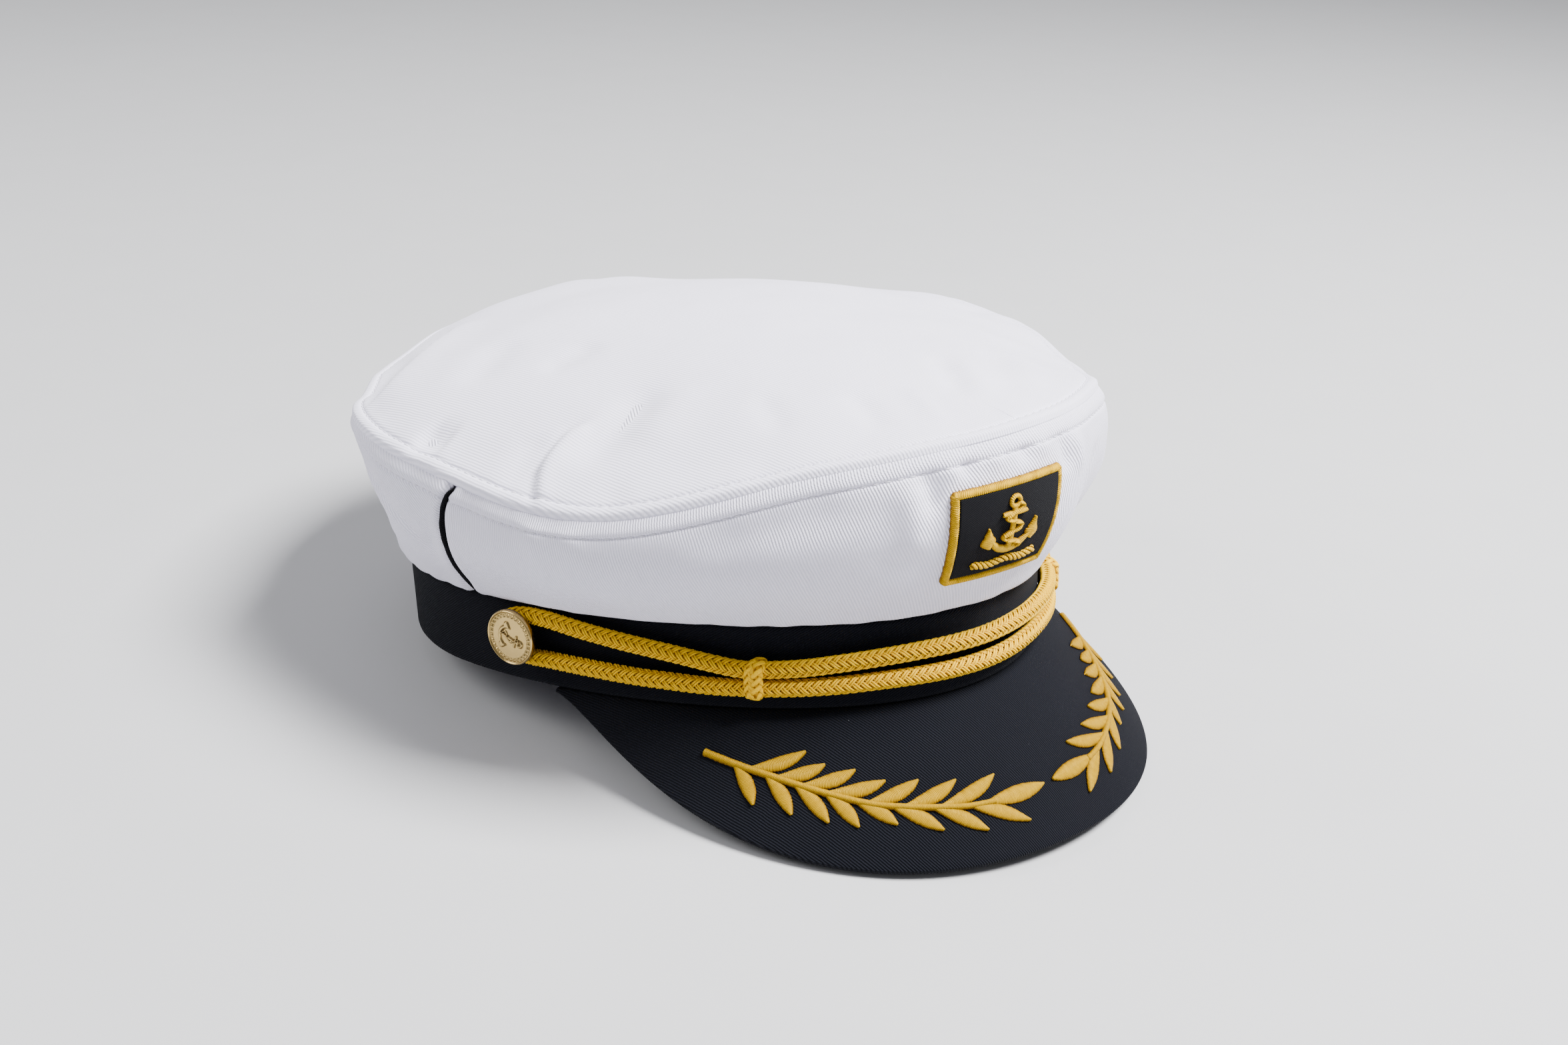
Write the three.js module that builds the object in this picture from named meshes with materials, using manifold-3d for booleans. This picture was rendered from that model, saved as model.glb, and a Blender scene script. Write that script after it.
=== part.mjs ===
// A soft yachting cap: a navy band, a white crown of two side panels and a domed top, a sloping peak with two
// embroidered laurel branches, one gold cord looped round two side buttons, and an anchor patch on the front.
// Lengths are millimetres. Every piece is shaped in the cap's own frame: the band's lower edge lies in z = 0, the
// wearer faces -Y and the wearer's right is -X. A turn is an angle round the head, 0 at the front and growing
// towards the wearer's right. The finished cap is tipped until its peak and the back of its band touch one plane.
import * as THREE from "three";
import { mergeVertices } from "three/addons/utils/BufferGeometryUtils.js";
import Module from "manifold-3d";

const wasm = await Module();
wasm.setup();

// Driving dimensions
const CLEARANCE = 0.3; // between pieces that touch on the real cap
const BAND_FRONT = 110; // from the middle of the band's oval to its front
const BAND_REAR = 84.8;
const BAND_SIDE = 88.9;
const BAND_TAPER = 0.178; // how much narrower the oval is towards the front, as a share
const BAND_PINCH = 0.09; // how much the back of the oval is drawn in, as a share
const BAND_HEIGHT = 22.5;
const BAND_WALL = 2.6;

const CROWN_WALL = 1.8; // side panels, measured level
const CROWN_TOP_WALL = 1.8; // top panel, measured upright
const CROWN_LIP = 0.8; // how far the panels stand out over the band's top edge
const CROWN_REACH = 18; // how far the top seam stands out beyond the band
const CROWN_RISE = 48; // from the band's top edge to the top seam
const CROWN_BULGE = 8; // how far the side panels belly out between the two
const DOME_HEIGHT = 88; // of the middle of the top panel
const DOME_BACK = 6; // how far that middle lies behind the middle of the band
const DOME_ROUNDNESS = 2.2; // 1 is a cone, more is a fuller dome

const PIPING_WIDTH = 1.4;
const PIPING_PROUD = 0.4;
const PIPING_TURN = 80; // where each side seam meets the top seam, in degrees
const PIPING_SWEEP = 6; // how far the seam runs back on its way down to the band
const PIPING_BELLY = 1.1;

const PEAK_TURN = 72.4; // where the peak ends on each side, in degrees
const PEAK_DEPTH = 46; // from the band to the edge, in the middle
const PEAK_END = 0.9; // the same at its two ends
const PEAK_WALL = 2.8;
const PEAK_ROOT = 2.1; // how far the peak reaches in under the band
const PEAK_SLOPE = 42; // downwards, at the middle of its depth, in degrees
const PEAK_SLOPE_GAIN = 8.5; // how much steeper it is at the two ends
const PEAK_CURL = 16; // how much steeper the edge is than the root
const PEAK_EDGE_ROUND = 0.9; // how far the rounded edge stands out
const PEAK_THINNING = 0.4; // how much thinner its two ends are, as a share

const EMBROIDERY = 0.9; // height of the laurel and the anchor over their ground
const STEM_WIDTH = 1.7;
const STEM_HEIGHT = 1; // over the peak; the stem stands a little over the leaves
const LEAF_WIDTH = 3.5;
const END_LEAF_WIDTH = 4.2;

const CORD_DIAMETER = 4.6;
const CORD_CLEARANCE = 0.5; // between the cord and the band it lies on
const KNOT_TURN = 41;
const KNOT_LENGTH = 6; // along the cord
const KNOT_WALL = 1.1;

const BUTTON_TURN = 76.6;
const BUTTON_UP = 0.671; // height of its middle, as a share of the band
const BUTTON_DIAMETER = 15.2;
const BUTTON_THICK = 1.5;
const BUTTON_RIM = 1.2;
const BUTTON_RIM_UP = 0.45;
const BUTTON_BEVEL = 0.5; // of the back edge; the front edge has half of it
const BUTTON_CROWNING = 0.25; // how far the middle of the face stands out
const SHANK_DIAMETER = 2.6;

const PATCH_TURN = 3.8; // the patch sits a little to the wearer's right
const PATCH_UP = 0.53; // height of its middle, as a share of the side panel
const PATCH_WIDTH = 34;
const PATCH_HEIGHT = 27;
const PATCH_WALL = 1.1;
const PATCH_BORDER = 2.4;
const PATCH_BORDER_WALL = 1.7;
const PATCH_CORNER = 2.2;
const ANCHOR_SHARE = 0.574; // its height, as a share of the patch's
const ANCHOR_UP = 0.07; // how far its middle lies over the middle of the patch, in the same share
const ROPE_BAR_SHARE = 0.62; // its length, as a share of the patch's width
const ROPE_BAR_UP = -0.322; // its height from the middle of the patch, as a share of the patch's height
const ROPE_BAR_WIDTH = 2.4;
const ROPE_BAR_WAVE = 0.4;

// The crown's top seam at every 30 degrees of turn, as shares of the reach, the rise and the bulge
const CROWN_STATIONS = [
  { reach: 0.91, rise: 1.03, bulge: 1.0 }, // front
  { reach: 1.0, rise: 0.94, bulge: 1.0 },
  { reach: 1.11, rise: 0.69, bulge: 1.0 },
  { reach: 0.66, rise: 0.8, bulge: 0.75 }, // wearer's right
  { reach: 0.78, rise: 0.92, bulge: 0.31 },
  { reach: 1.0, rise: 0.97, bulge: 0.25 },
  { reach: 0.94, rise: 1.04, bulge: 0.38 }, // back
  { reach: 0.89, rise: 1.0, bulge: 0.5 },
  { reach: 0.89, rise: 0.91, bulge: 0.75 },
  { reach: 0.97, rise: 0.93, bulge: 0.88 }, // wearer's left
  { reach: 1.06, rise: 0.82, bulge: 1.0 },
  { reach: 0.87, rise: 0.98, bulge: 1.0 },
];

// Folds of the top panel, from one end to the other: across and along are shares of BAND_SIDE (towards the wearer's
// left) and BAND_FRONT (towards the back), width and lift shares of DOME_HEIGHT; a negative lift is a hollow
const TOP_FOLDS = [
  { across1: -0.92, along1: 0.15, across2: -0.25, along2: 0.3, width: 0.09, lift: -0.035 },
  { across1: -0.85, along1: 0.62, across2: -0.2, along2: 0.62, width: 0.08, lift: 0.03 },
  { across1: -0.55, along1: 0.45, across2: 0.2, along2: 0.5, width: 0.13, lift: -0.03 },
  { across1: -0.1, along1: -0.95, across2: -0.1, along2: -0.55, width: 0.07, lift: -0.02 },
  { across1: 0.2, along1: -0.95, across2: 0.15, along2: -0.6, width: 0.07, lift: -0.02 },
];

// Folds of the side panels: turns in degrees, heights as shares of the panel, spread in degrees and the push outwards
// as a share of CROWN_BULGE
const SIDE_FOLDS = [
  { turn1: 112, up1: 0.85, turn2: 92, up2: 0.1, spread: 6, push: 0.2 },
  { turn1: 128, up1: 0.9, turn2: 104, up2: 0.15, spread: 6, push: -0.25 },
  { turn1: 74, up1: 0.9, turn2: 68, up2: 0.25, spread: 6, push: -0.16 },
  { turn1: -24, up1: 0.95, turn2: -30, up2: 0.35, spread: 5, push: -0.2 },
  { turn1: -60, up1: 0.7, turn2: -48, up2: 0.1, spread: 7, push: -0.2 },
];

// The cord from the middle of the front to the button and back: turn in degrees, height as a share of BAND_HEIGHT
const CORD_ROUTE = [
  [0, 0.644], [7, 0.647], [14, 0.645], [21, 0.627], [28, 0.59], [34, 0.55], [38.7, 0.532],
  [43.3, 0.532], [48, 0.595], [53, 0.672], [60, 0.756], [66, 0.828], [69.8, 0.878], [72.3, 0.905],
  [75.3, 0.908], [77.7, 0.86], [78.9, 0.74], [78.9, 0.58], [77.7, 0.455], [75.3, 0.398], [72.3, 0.398],
  [69.8, 0.392], [66, 0.38], [60, 0.356], [53, 0.333], [48, 0.315], [43.3, 0.312], [38.7, 0.312],
  [34, 0.318], [28, 0.332], [21, 0.35], [14, 0.35], [7, 0.342], [0, 0.338],
];

// The laurel branch on the wearer's right, laid on the peak: turn in degrees and share of the peak's depth
const STEM_ROUTE = [
  [48.3, 0.44], [44, 0.47], [39.3, 0.5], [34.5, 0.54], [30, 0.58], [25.4, 0.62], [21.2, 0.64],
  [16.8, 0.66], [12.6, 0.68], [9, 0.685],
];
// Each leaf from its foot to its tip: turn and share at the foot, turn and share at the tip
const LEAVES = [
  [42.0, 0.48, 34.2, 0.3], [38.1, 0.5, 31.5, 0.38], [34.6, 0.53, 27.3, 0.41], [31.2, 0.56, 23.3, 0.48],
  [26.0, 0.61, 18.7, 0.49], [21.2, 0.635, 13.4, 0.52], [16.4, 0.655, 7.6, 0.54],
  [44.0, 0.475, 41.0, 0.74], [39.6, 0.505, 36.0, 0.74], [35.6, 0.54, 31.3, 0.75], [31.6, 0.57, 27.5, 0.76],
  [27.8, 0.6, 22.6, 0.74], [23.0, 0.635, 16.9, 0.79], [17.6, 0.66, 11.3, 0.83], [12.8, 0.675, 5.4, 0.84],
];
const END_LEAF = [10.2, 0.683, 0.9, 0.68];

const radians = THREE.MathUtils.degToRad;
const UP = new THREE.Vector3(0, 0, 1);

// Makes one closed skin through a row of loops with equally many points. A ring of loops meets its own start; an open
// row is closed at both ends by strips from each point to the one that faces it in the loop.
function loft(loops, ring = false) {
  const around = loops[0].length;
  const points = loops.flat();
  const faces = [];
  const last = ring ? loops.length : loops.length - 1;
  for (let row = 0; row < last; row++) {
    const here = row * around;
    const next = ((row + 1) % loops.length) * around;
    for (let k = 0; k < around; k++) {
      const l = (k + 1) % around;
      faces.push([here + k, here + l, next + l], [here + k, next + l, next + k]);
    }
  }
  if (!ring) {
    const far = (loops.length - 1) * around;
    for (let k = 0; k < around / 2 - 1; k++) {
      const j = around - 1 - k;
      faces.push([k, j, j - 1], [k, j - 1, k + 1]);
      faces.push([far + k, far + j - 1, far + j], [far + k, far + k + 1, far + j - 1]);
    }
  }
  return skin(points, faces);
}

// A geometry from points and faces, turned so that its faces look outwards.
function skin(points, faces) {
  const volume = faces.reduce(
    (sum, [a, b, c]) => sum + points[a].dot(points[b].clone().cross(points[c])),
    0,
  );
  const order = volume < 0 ? faces.map(([a, b, c]) => [a, c, b]) : faces;
  const geometry = new THREE.BufferGeometry().setFromPoints(points);
  geometry.setIndex(order.flat());
  geometry.computeVertexNormals();
  return geometry;
}

function toSolid(geometry) {
  const bare = geometry.clone();
  bare.deleteAttribute("normal");
  bare.deleteAttribute("uv");
  const merged = mergeVertices(bare, 1e-3);
  return new wasm.Manifold(
    new wasm.Mesh({
      numProp: 3,
      vertProperties: merged.attributes.position.array,
      triVerts: new Uint32Array(merged.index.array),
    }),
  );
}

// One geometry from several that run into each other.
function joined(geometries) {
  const solid = geometries.map(toSolid).reduce((all, next) => all.add(next));
  const mesh = solid.getMesh();
  const geometry = new THREE.BufferGeometry();
  geometry.setAttribute("position", new THREE.BufferAttribute(mesh.vertProperties, 3));
  geometry.setIndex(new THREE.BufferAttribute(mesh.triVerts, 1));
  geometry.computeVertexNormals();
  return geometry;
}

function spread(count, from, to) {
  return Array.from({ length: count }, (_, k) => from + ((to - from) * k) / (count - 1));
}

// Passes through the values given at equal steps of a full turn.
function roundTheHead(name, turn) {
  const count = CROWN_STATIONS.length;
  const place = ((((turn / 360) * count) % count) + count) % count;
  const k = Math.floor(place);
  const u = place - k;
  const [a, b, c, d] = [-1, 0, 1, 2].map((step) => CROWN_STATIONS[(k + step + count) % count][name]);
  return b + (u * (c - a + u * (2 * a - 5 * b + 4 * c - d + u * (3 * (b - c) + d - a)))) / 2;
}

// The band's outer oval, narrower at the front and drawn in at the back.
function oval(turn) {
  const angle = radians(turn);
  const forward = Math.cos(angle);
  const length = forward < 0 ? BAND_REAR : BAND_FRONT;
  const pinch = forward < 0 ? BAND_PINCH * forward ** 2 : 0;
  const taper = (BAND_TAPER * length) / BAND_FRONT;
  return new THREE.Vector3(
    -BAND_SIDE * Math.sin(angle) * (1 - taper * forward) * (1 - pinch),
    -length * forward,
    0,
  );
}

// The level direction that looks straight out of the oval.
function outwards(turn) {
  const along = oval(turn + 0.01).sub(oval(turn - 0.01)).normalize();
  return along.cross(UP).negate();
}

function bandPoint(turn, out, height) {
  return oval(turn).addScaledVector(outwards(turn), out).setZ(height);
}

// Millimetres for one degree of turn on a surface given as a function of turn.
function perDegree(surface, turn) {
  return surface(turn + 0.5).distanceTo(surface(turn - 0.5));
}

// How near a point is to a fold: 1 on its line, 0 far from it.
function nearness(x, y, x1, y1, x2, y2, width) {
  const dx = x2 - x1;
  const dy = y2 - y1;
  const along = THREE.MathUtils.clamp(((x - x1) * dx + (y - y1) * dy) / (dx * dx + dy * dy), 0, 1);
  const away = Math.hypot(x - x1 - dx * along, y - y1 - dy * along) / width;
  return Math.exp(-away * away);
}

function seamPoint(turn) {
  const reach = CROWN_REACH * roundTheHead("reach", turn);
  const height = BAND_HEIGHT + CROWN_RISE * roundTheHead("rise", turn);
  return bandPoint(turn, reach, height);
}

// The outer face of the side panels, from the band at share 0 to the top seam at share 1, moved out by a distance.
function sidePoint(turn, share, out = 0) {
  const foot = bandPoint(turn, CROWN_LIP, BAND_HEIGHT + CLEARANCE);
  const head = seamPoint(turn);
  head.z -= CROWN_TOP_WALL + CLEARANCE;
  const belly = 4 * share * (1 - share);
  let push = roundTheHead("bulge", turn) * belly;
  for (const fold of SIDE_FOLDS) {
    const near = nearness(
      turn, share * fold.spread * 4, fold.turn1, fold.up1 * fold.spread * 4,
      fold.turn2, fold.up2 * fold.spread * 4, fold.spread,
    );
    push += fold.push * near * belly;
  }
  return foot.lerp(head, share).addScaledVector(outwards(turn), CROWN_BULGE * push + out);
}

// The outer face of the top panel, from the seam at share 0 to its middle at share 1.
function topPoint(turn, share, drop = 0) {
  const seam = seamPoint(turn);
  const risen = 1 - (1 - share) ** DOME_ROUNDNESS;
  const x = seam.x * (1 - share);
  const y = seam.y * (1 - share) + DOME_BACK * share;
  let z = seam.z * (1 - risen) + DOME_HEIGHT * risen;
  const inside = Math.min(1, share * 8);
  for (const fold of TOP_FOLDS) {
    const near = nearness(
      x, y, fold.across1 * BAND_SIDE, fold.along1 * BAND_FRONT,
      fold.across2 * BAND_SIDE, fold.along2 * BAND_FRONT, fold.width * DOME_HEIGHT,
    );
    z += fold.lift * DOME_HEIGHT * near * inside;
  }
  return new THREE.Vector3(x, y, z - drop);
}

// The turn of the piped side seam at a height of the side panel.
function pipingTurn(share) {
  return PIPING_TURN + PIPING_SWEEP * (1 - share) ** 4 + PIPING_BELLY * 4 * share * (1 - share);
}

function makeBand() {
  const loops = spread(73, 0, 360).slice(0, -1).map((turn) => [
    bandPoint(turn, 0, 0),
    bandPoint(turn, 0, BAND_HEIGHT),
    bandPoint(turn, -BAND_WALL, BAND_HEIGHT),
    bandPoint(turn, -BAND_WALL, 0),
  ]);
  return loft(loops, true);
}

// A side panel between two turns, which may change with height.
function makePanel(startTurn, endTurn, columns, outOuter, outInner) {
  const shares = spread(7, 0, 1);
  const loops = spread(columns, 0, 1).map((across) => {
    const at = (share, out) =>
      sidePoint(startTurn(share) * (1 - across) + endTurn(share) * across, share, out);
    return [
      ...shares.map((share) => at(share, outOuter)),
      ...shares.toReversed().map((share) => at(share, outInner)),
    ];
  });
  return loft(loops);
}

// Half the width of a side seam's slot, as a turn.
function slotTurn(width) {
  return width / 2 / perDegree((turn) => sidePoint(turn, 0), PIPING_TURN);
}

function makeCrownTop() {
  const turns = spread(53, 0, 360).slice(0, -1);
  const shares = [0, 0.08, 0.2, 0.36, 0.55, 0.76, 0.95];
  const ring = (share, drop) => turns.map((turn) => topPoint(turn, share, drop));
  return loft([
    ...shares.toReversed().map((share) => ring(share, CROWN_TOP_WALL)),
    ...shares.map((share) => ring(share, 0)),
  ]);
}

function peakDepth(turn) {
  const away = Math.min(1, Math.abs(turn) / PEAK_TURN);
  return PEAK_END + (PEAK_DEPTH - PEAK_END) * (1 - away ** 3) ** 1.33;
}

// A point over the peak: share 0 at the band and 1 at its edge, lifted square to the face.
function peakPoint(turn, share, lift = 0) {
  const away = Math.min(1, Math.abs(turn) / PEAK_TURN);
  const middle = PEAK_SLOPE + PEAK_SLOPE_GAIN * away ** 2;
  const chord = radians(middle + PEAK_CURL * (share / 2 - 0.5));
  const slope = radians(middle + PEAK_CURL * (share - 0.5));
  const depth = peakDepth(turn) * share;
  return bandPoint(
    turn,
    depth * Math.cos(chord) + lift * Math.sin(slope),
    -CLEARANCE - depth * Math.sin(chord) + lift * Math.cos(slope),
  );
}

function makePeak() {
  const shares = [0, 0.2, 0.4, 0.6, 0.8, 1];
  const loops = spread(39, -PEAK_TURN, PEAK_TURN).map((turn) => {
    const wall = PEAK_WALL * (1 - PEAK_THINNING * (turn / PEAK_TURN) ** 4);
    const edge = 1 + PEAK_EDGE_ROUND / peakDepth(turn);
    return [
      bandPoint(turn, -PEAK_ROOT, -CLEARANCE),
      ...shares.map((share) => peakPoint(turn, share)),
      peakPoint(turn, Math.min(edge, 1.3), -0.3 * wall),
      peakPoint(turn, Math.min(edge, 1.3), -0.7 * wall),
      ...shares.toReversed().map((share) => peakPoint(turn, share, -wall)),
      bandPoint(turn, -PEAK_ROOT, -CLEARANCE - wall),
    ];
  });
  return loft(loops);
}

// The direction square to a surface, on the side to which it lifts.
function normalOf(surface, u, v) {
  const step = 0.01;
  const alongU = surface(u + step, v, 0).sub(surface(u - step, v, 0));
  const alongV = surface(u, v + step, 0).sub(surface(u, v - step, 0));
  const square = alongU.cross(alongV).normalize();
  const lift = surface(u, v, 1).sub(surface(u, v, 0));
  return square.dot(lift) < 0 ? square.negate() : square;
}

// A raised strip over a surface through points of that surface, with its width at each point. The surface is a
// function of two coordinates and of the lift over it.
function raisedStrip(surface, route, widths, height, ring = false) {
  const count = route.length;
  const places = route.map(([u, v]) => surface(u, v, 0));
  const loops = route.map(([u, v], k) => {
    const before = places[ring ? (k + count - 1) % count : Math.max(0, k - 1)];
    const after = places[ring ? (k + 1) % count : Math.min(count - 1, k + 1)];
    const face = normalOf(surface, u, v);
    const side = after.clone().sub(before).normalize().cross(face);
    const put = (sideways, up) =>
      places[k].clone().addScaledVector(side, sideways * widths[k]).addScaledVector(face, up);
    return [
      put(-0.5, CLEARANCE),
      put(-0.28, CLEARANCE + height),
      put(0.28, CLEARANCE + height),
      put(0.5, CLEARANCE),
    ];
  });
  return loft(loops, ring);
}

function makeLeaf([footTurn, footShare, tipTurn, tipShare], width) {
  const shares = [0, 0.3, 0.7, 1];
  const widths = [0.4, 0.95, 0.9, 0.12].map((share) => share * width);
  const route = shares.map((share) => [
    footTurn + (tipTurn - footTurn) * share,
    footShare + (tipShare - footShare) * share,
  ]);
  return raisedStrip(peakPoint, route, widths, EMBROIDERY);
}

function makeLaurel(side) {
  const mirrored = (points) => points.map((value, k) => (k % 2 ? value : side * value));
  const stem = raisedStrip(
    peakPoint,
    STEM_ROUTE.map(mirrored),
    STEM_ROUTE.map(() => STEM_WIDTH),
    STEM_HEIGHT,
  );
  const leaves = LEAVES.map((leaf) => makeLeaf(mirrored(leaf), LEAF_WIDTH));
  return joined([stem, ...leaves, makeLeaf(mirrored(END_LEAF), END_LEAF_WIDTH)]);
}

const cordOut = CORD_CLEARANCE + CORD_DIAMETER / 2;

// The cord is one closed loop: out along the upper run, round a button's shank and back along the lower run.
function makeCord() {
  const half = CORD_ROUTE.slice(1, -1);
  const route = [
    CORD_ROUTE[0],
    ...half,
    CORD_ROUTE.at(-1),
    ...half.toReversed().map(([turn, share]) => [-turn, share]),
  ];
  const middles = route.map(([turn, share]) => bandPoint(turn, cordOut, share * BAND_HEIGHT));
  const loops = middles.map((middle, k) => {
    const before = middles.at(k - 1);
    const after = middles[(k + 1) % middles.length];
    const along = after.clone().sub(before).normalize();
    const out = outwards(route[k][0]);
    out.addScaledVector(along, -out.dot(along)).normalize();
    const across = along.clone().cross(out);
    return spread(9, 0, 2 * Math.PI).slice(0, -1).map((angle) =>
      middle.clone()
        .addScaledVector(out, (Math.cos(angle) * CORD_DIAMETER) / 2)
        .addScaledVector(across, (Math.sin(angle) * CORD_DIAMETER) / 2));
  });
  return loft(loops, true);
}

// Height of the cord on the band at a turn, on its upper or its lower run.
function cordHeight(turn, upper) {
  const run = upper ? CORD_ROUTE : CORD_ROUTE.toReversed();
  const k = run.findIndex((point) => point[0] > turn);
  const share = (turn - run[k - 1][0]) / (run[k][0] - run[k - 1][0]);
  return BAND_HEIGHT * (run[k - 1][1] * (1 - share) + run[k][1] * share);
}

// A knot is an arch over both runs of the cord, open towards the band.
function makeKnot(side) {
  const high = cordHeight(KNOT_TURN, true);
  const low = cordHeight(KNOT_TURN, false);
  const hollow = CORD_DIAMETER / 2 + CLEARANCE;
  const arch = (radius) => [
    [CLEARANCE, low - radius],
    ...spread(4, -90, 0).map((angle) => [
      cordOut + radius * Math.cos(radians(angle)),
      low + radius * Math.sin(radians(angle)),
    ]),
    ...spread(4, 0, 90).map((angle) => [
      cordOut + radius * Math.cos(radians(angle)),
      high + radius * Math.sin(radians(angle)),
    ]),
    [CLEARANCE, high + radius],
  ];
  const length = KNOT_LENGTH / perDegree((turn) => bandPoint(turn, cordOut, 0), KNOT_TURN);
  const loops = [
    [-0.5, 0.7],
    [-0.3, 1],
    [0.3, 1],
    [0.5, 0.7],
  ].map(([along, swell]) => {
    const turn = side * (KNOT_TURN + along * length);
    return [...arch(hollow + KNOT_WALL * swell), ...arch(hollow).toReversed()].map(([out, height]) =>
      bandPoint(turn, out, height));
  });
  return loft(loops);
}

// A pressed metal disc with a raised rim, on a plain shank that ends at the band.
function makeButton() {
  const radius = BUTTON_DIAMETER / 2;
  const back = cordOut + CORD_DIAMETER / 2 + CLEARANCE;
  const face = back + BUTTON_THICK;
  const profile = [
    [0, CLEARANCE],
    [SHANK_DIAMETER / 2, CLEARANCE],
    [SHANK_DIAMETER / 2, back],
    [radius - BUTTON_BEVEL, back],
    [radius, back + BUTTON_BEVEL],
    [radius, face - BUTTON_BEVEL / 2],
    [radius - BUTTON_RIM / 2, face + BUTTON_RIM_UP],
    [radius - BUTTON_RIM, face],
    [0, face + BUTTON_CROWNING],
  ].map(([across, out]) => new THREE.Vector2(across, out));
  return new THREE.LatheGeometry(profile, 28);
}

// Places on the front of the crown, in millimetres from the middle of the patch: x towards the wearer's left,
// y upwards, lift outwards from the panel.
const patchScale = {
  across: perDegree((turn) => sidePoint(turn, PATCH_UP), PATCH_TURN),
  upright: sidePoint(PATCH_TURN, PATCH_UP + 0.1).distanceTo(sidePoint(PATCH_TURN, PATCH_UP - 0.1)) / 0.2,
};

function patchPoint(x, y, lift) {
  return sidePoint(PATCH_TURN - x / patchScale.across, PATCH_UP + y / patchScale.upright, lift);
}

function makePatchGround() {
  const reach = PATCH_BORDER + CLEARANCE;
  const rows = spread(7, -0.5, 0.5).map((share) => share * (PATCH_HEIGHT - 2 * reach));
  const loops = spread(8, -0.5, 0.5).map((share) => {
    const x = share * (PATCH_WIDTH - 2 * reach);
    return [
      ...rows.map((y) => patchPoint(x, y, CLEARANCE + PATCH_WALL)),
      ...rows.toReversed().map((y) => patchPoint(x, y, CLEARANCE)),
    ];
  });
  return loft(loops);
}

function makePatchBorder() {
  const halfWidth = PATCH_WIDTH / 2 - PATCH_CORNER;
  const halfHeight = PATCH_HEIGHT / 2 - PATCH_CORNER;
  const outline = new THREE.Shape()
    .moveTo(halfWidth, -halfHeight - PATCH_CORNER)
    .absarc(halfWidth, -halfHeight, PATCH_CORNER, -Math.PI / 2, 0, false)
    .absarc(halfWidth, halfHeight, PATCH_CORNER, 0, Math.PI / 2, false)
    .absarc(-halfWidth, halfHeight, PATCH_CORNER, Math.PI / 2, Math.PI, false)
    .absarc(-halfWidth, -halfHeight, PATCH_CORNER, Math.PI, 1.5 * Math.PI, false)
    .closePath();
  const points = outline.getSpacedPoints(48).slice(0, -1);
  const loops = points.map((point, k) => {
    const along = points[(k + 1) % points.length].clone().sub(points.at(k - 1)).normalize();
    const put = (inwards, lift) =>
      patchPoint(point.x - along.y * inwards, point.y + along.x * inwards, lift);
    return [
      put(0, CLEARANCE),
      put(0.1, CLEARANCE + 0.7 * PATCH_BORDER_WALL),
      put(PATCH_BORDER / 2, CLEARANCE + PATCH_BORDER_WALL),
      put(PATCH_BORDER - 0.1, CLEARANCE + 0.7 * PATCH_BORDER_WALL),
      put(PATCH_BORDER, CLEARANCE),
    ];
  });
  return loft(loops, true);
}

// The face of the patch, on which its motif is sewn.
function groundPoint(x, y, lift) {
  return patchPoint(x, y, CLEARANCE + PATCH_WALL + lift);
}

function makeAnchor() {
  const h = ANCHOR_SHARE * PATCH_HEIGHT;
  const low = ANCHOR_UP * PATCH_HEIGHT - h / 2;
  const strip = (route, widths, ring) =>
    raisedStrip(groundPoint, route, widths.map((width) => width * h), EMBROIDERY, ring);
  const arc = (count, up, radius, from, to) =>
    spread(count, radians(from), radians(to)).map((angle) => [
      radius * h * Math.cos(angle),
      low + up * h + radius * h * Math.sin(angle),
    ]);
  const shank = spread(6, 0.03, 0.81).map((up) => [0, low + up * h]);
  const stock = spread(5, -0.23, 0.23).map((across) => [across * h, low + 0.69 * h]);
  const fluke = (side) => [
    [side * 0.43 * h, low + 0.16 * h],
    [side * 0.44 * h, low + 0.27 * h],
    [side * 0.45 * h, low + 0.38 * h],
    [side * 0.46 * h, low + 0.5 * h],
  ];
  return joined([
    strip(shank, shank.map(() => 0.1)),
    strip(stock, [0.05, 0.08, 0.08, 0.08, 0.05]),
    strip(arc(13, 0.89, 0.085, 0, 360).slice(0, -1), Array(12).fill(0.06), true),
    strip(arc(9, 0.47, 0.43, 210, 330), [0.07, 0.1, 0.12, 0.13, 0.14, 0.13, 0.12, 0.1, 0.07]),
    strip(fluke(-1), [0.05, 0.26, 0.15, 0.02]),
    strip(fluke(1), [0.05, 0.26, 0.15, 0.02]),
  ]);
}

// A short rope bar under the anchor, waved along its length.
function makeRopeBar() {
  const route = spread(13, -0.5, 0.5).map((share) => [
    share * ROPE_BAR_SHARE * PATCH_WIDTH,
    ROPE_BAR_UP * PATCH_HEIGHT + ROPE_BAR_WAVE * Math.cos(4 * Math.PI * share),
  ]);
  return raisedStrip(groundPoint, route, route.map(() => ROPE_BAR_WIDTH), EMBROIDERY);
}

const material = (color, roughness, metalness = 0) =>
  new THREE.MeshStandardMaterial({ color, roughness, metalness });
const MATERIALS = {
  navy: () => material("#161a26", 0.85),
  white: () => material("#eceef4", 0.8),
  black: () => material("#101014", 0.8),
  gold: () => material("#e3b32f", 0.55),
  brass: () => material("#cfae6a", 0.3, 1),
};

const cap = new THREE.Group();

function add(name, geometry, finish) {
  const mesh = new THREE.Mesh(geometry, MATERIALS[finish]());
  mesh.name = name;
  cap.add(mesh);
  return mesh;
}

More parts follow.
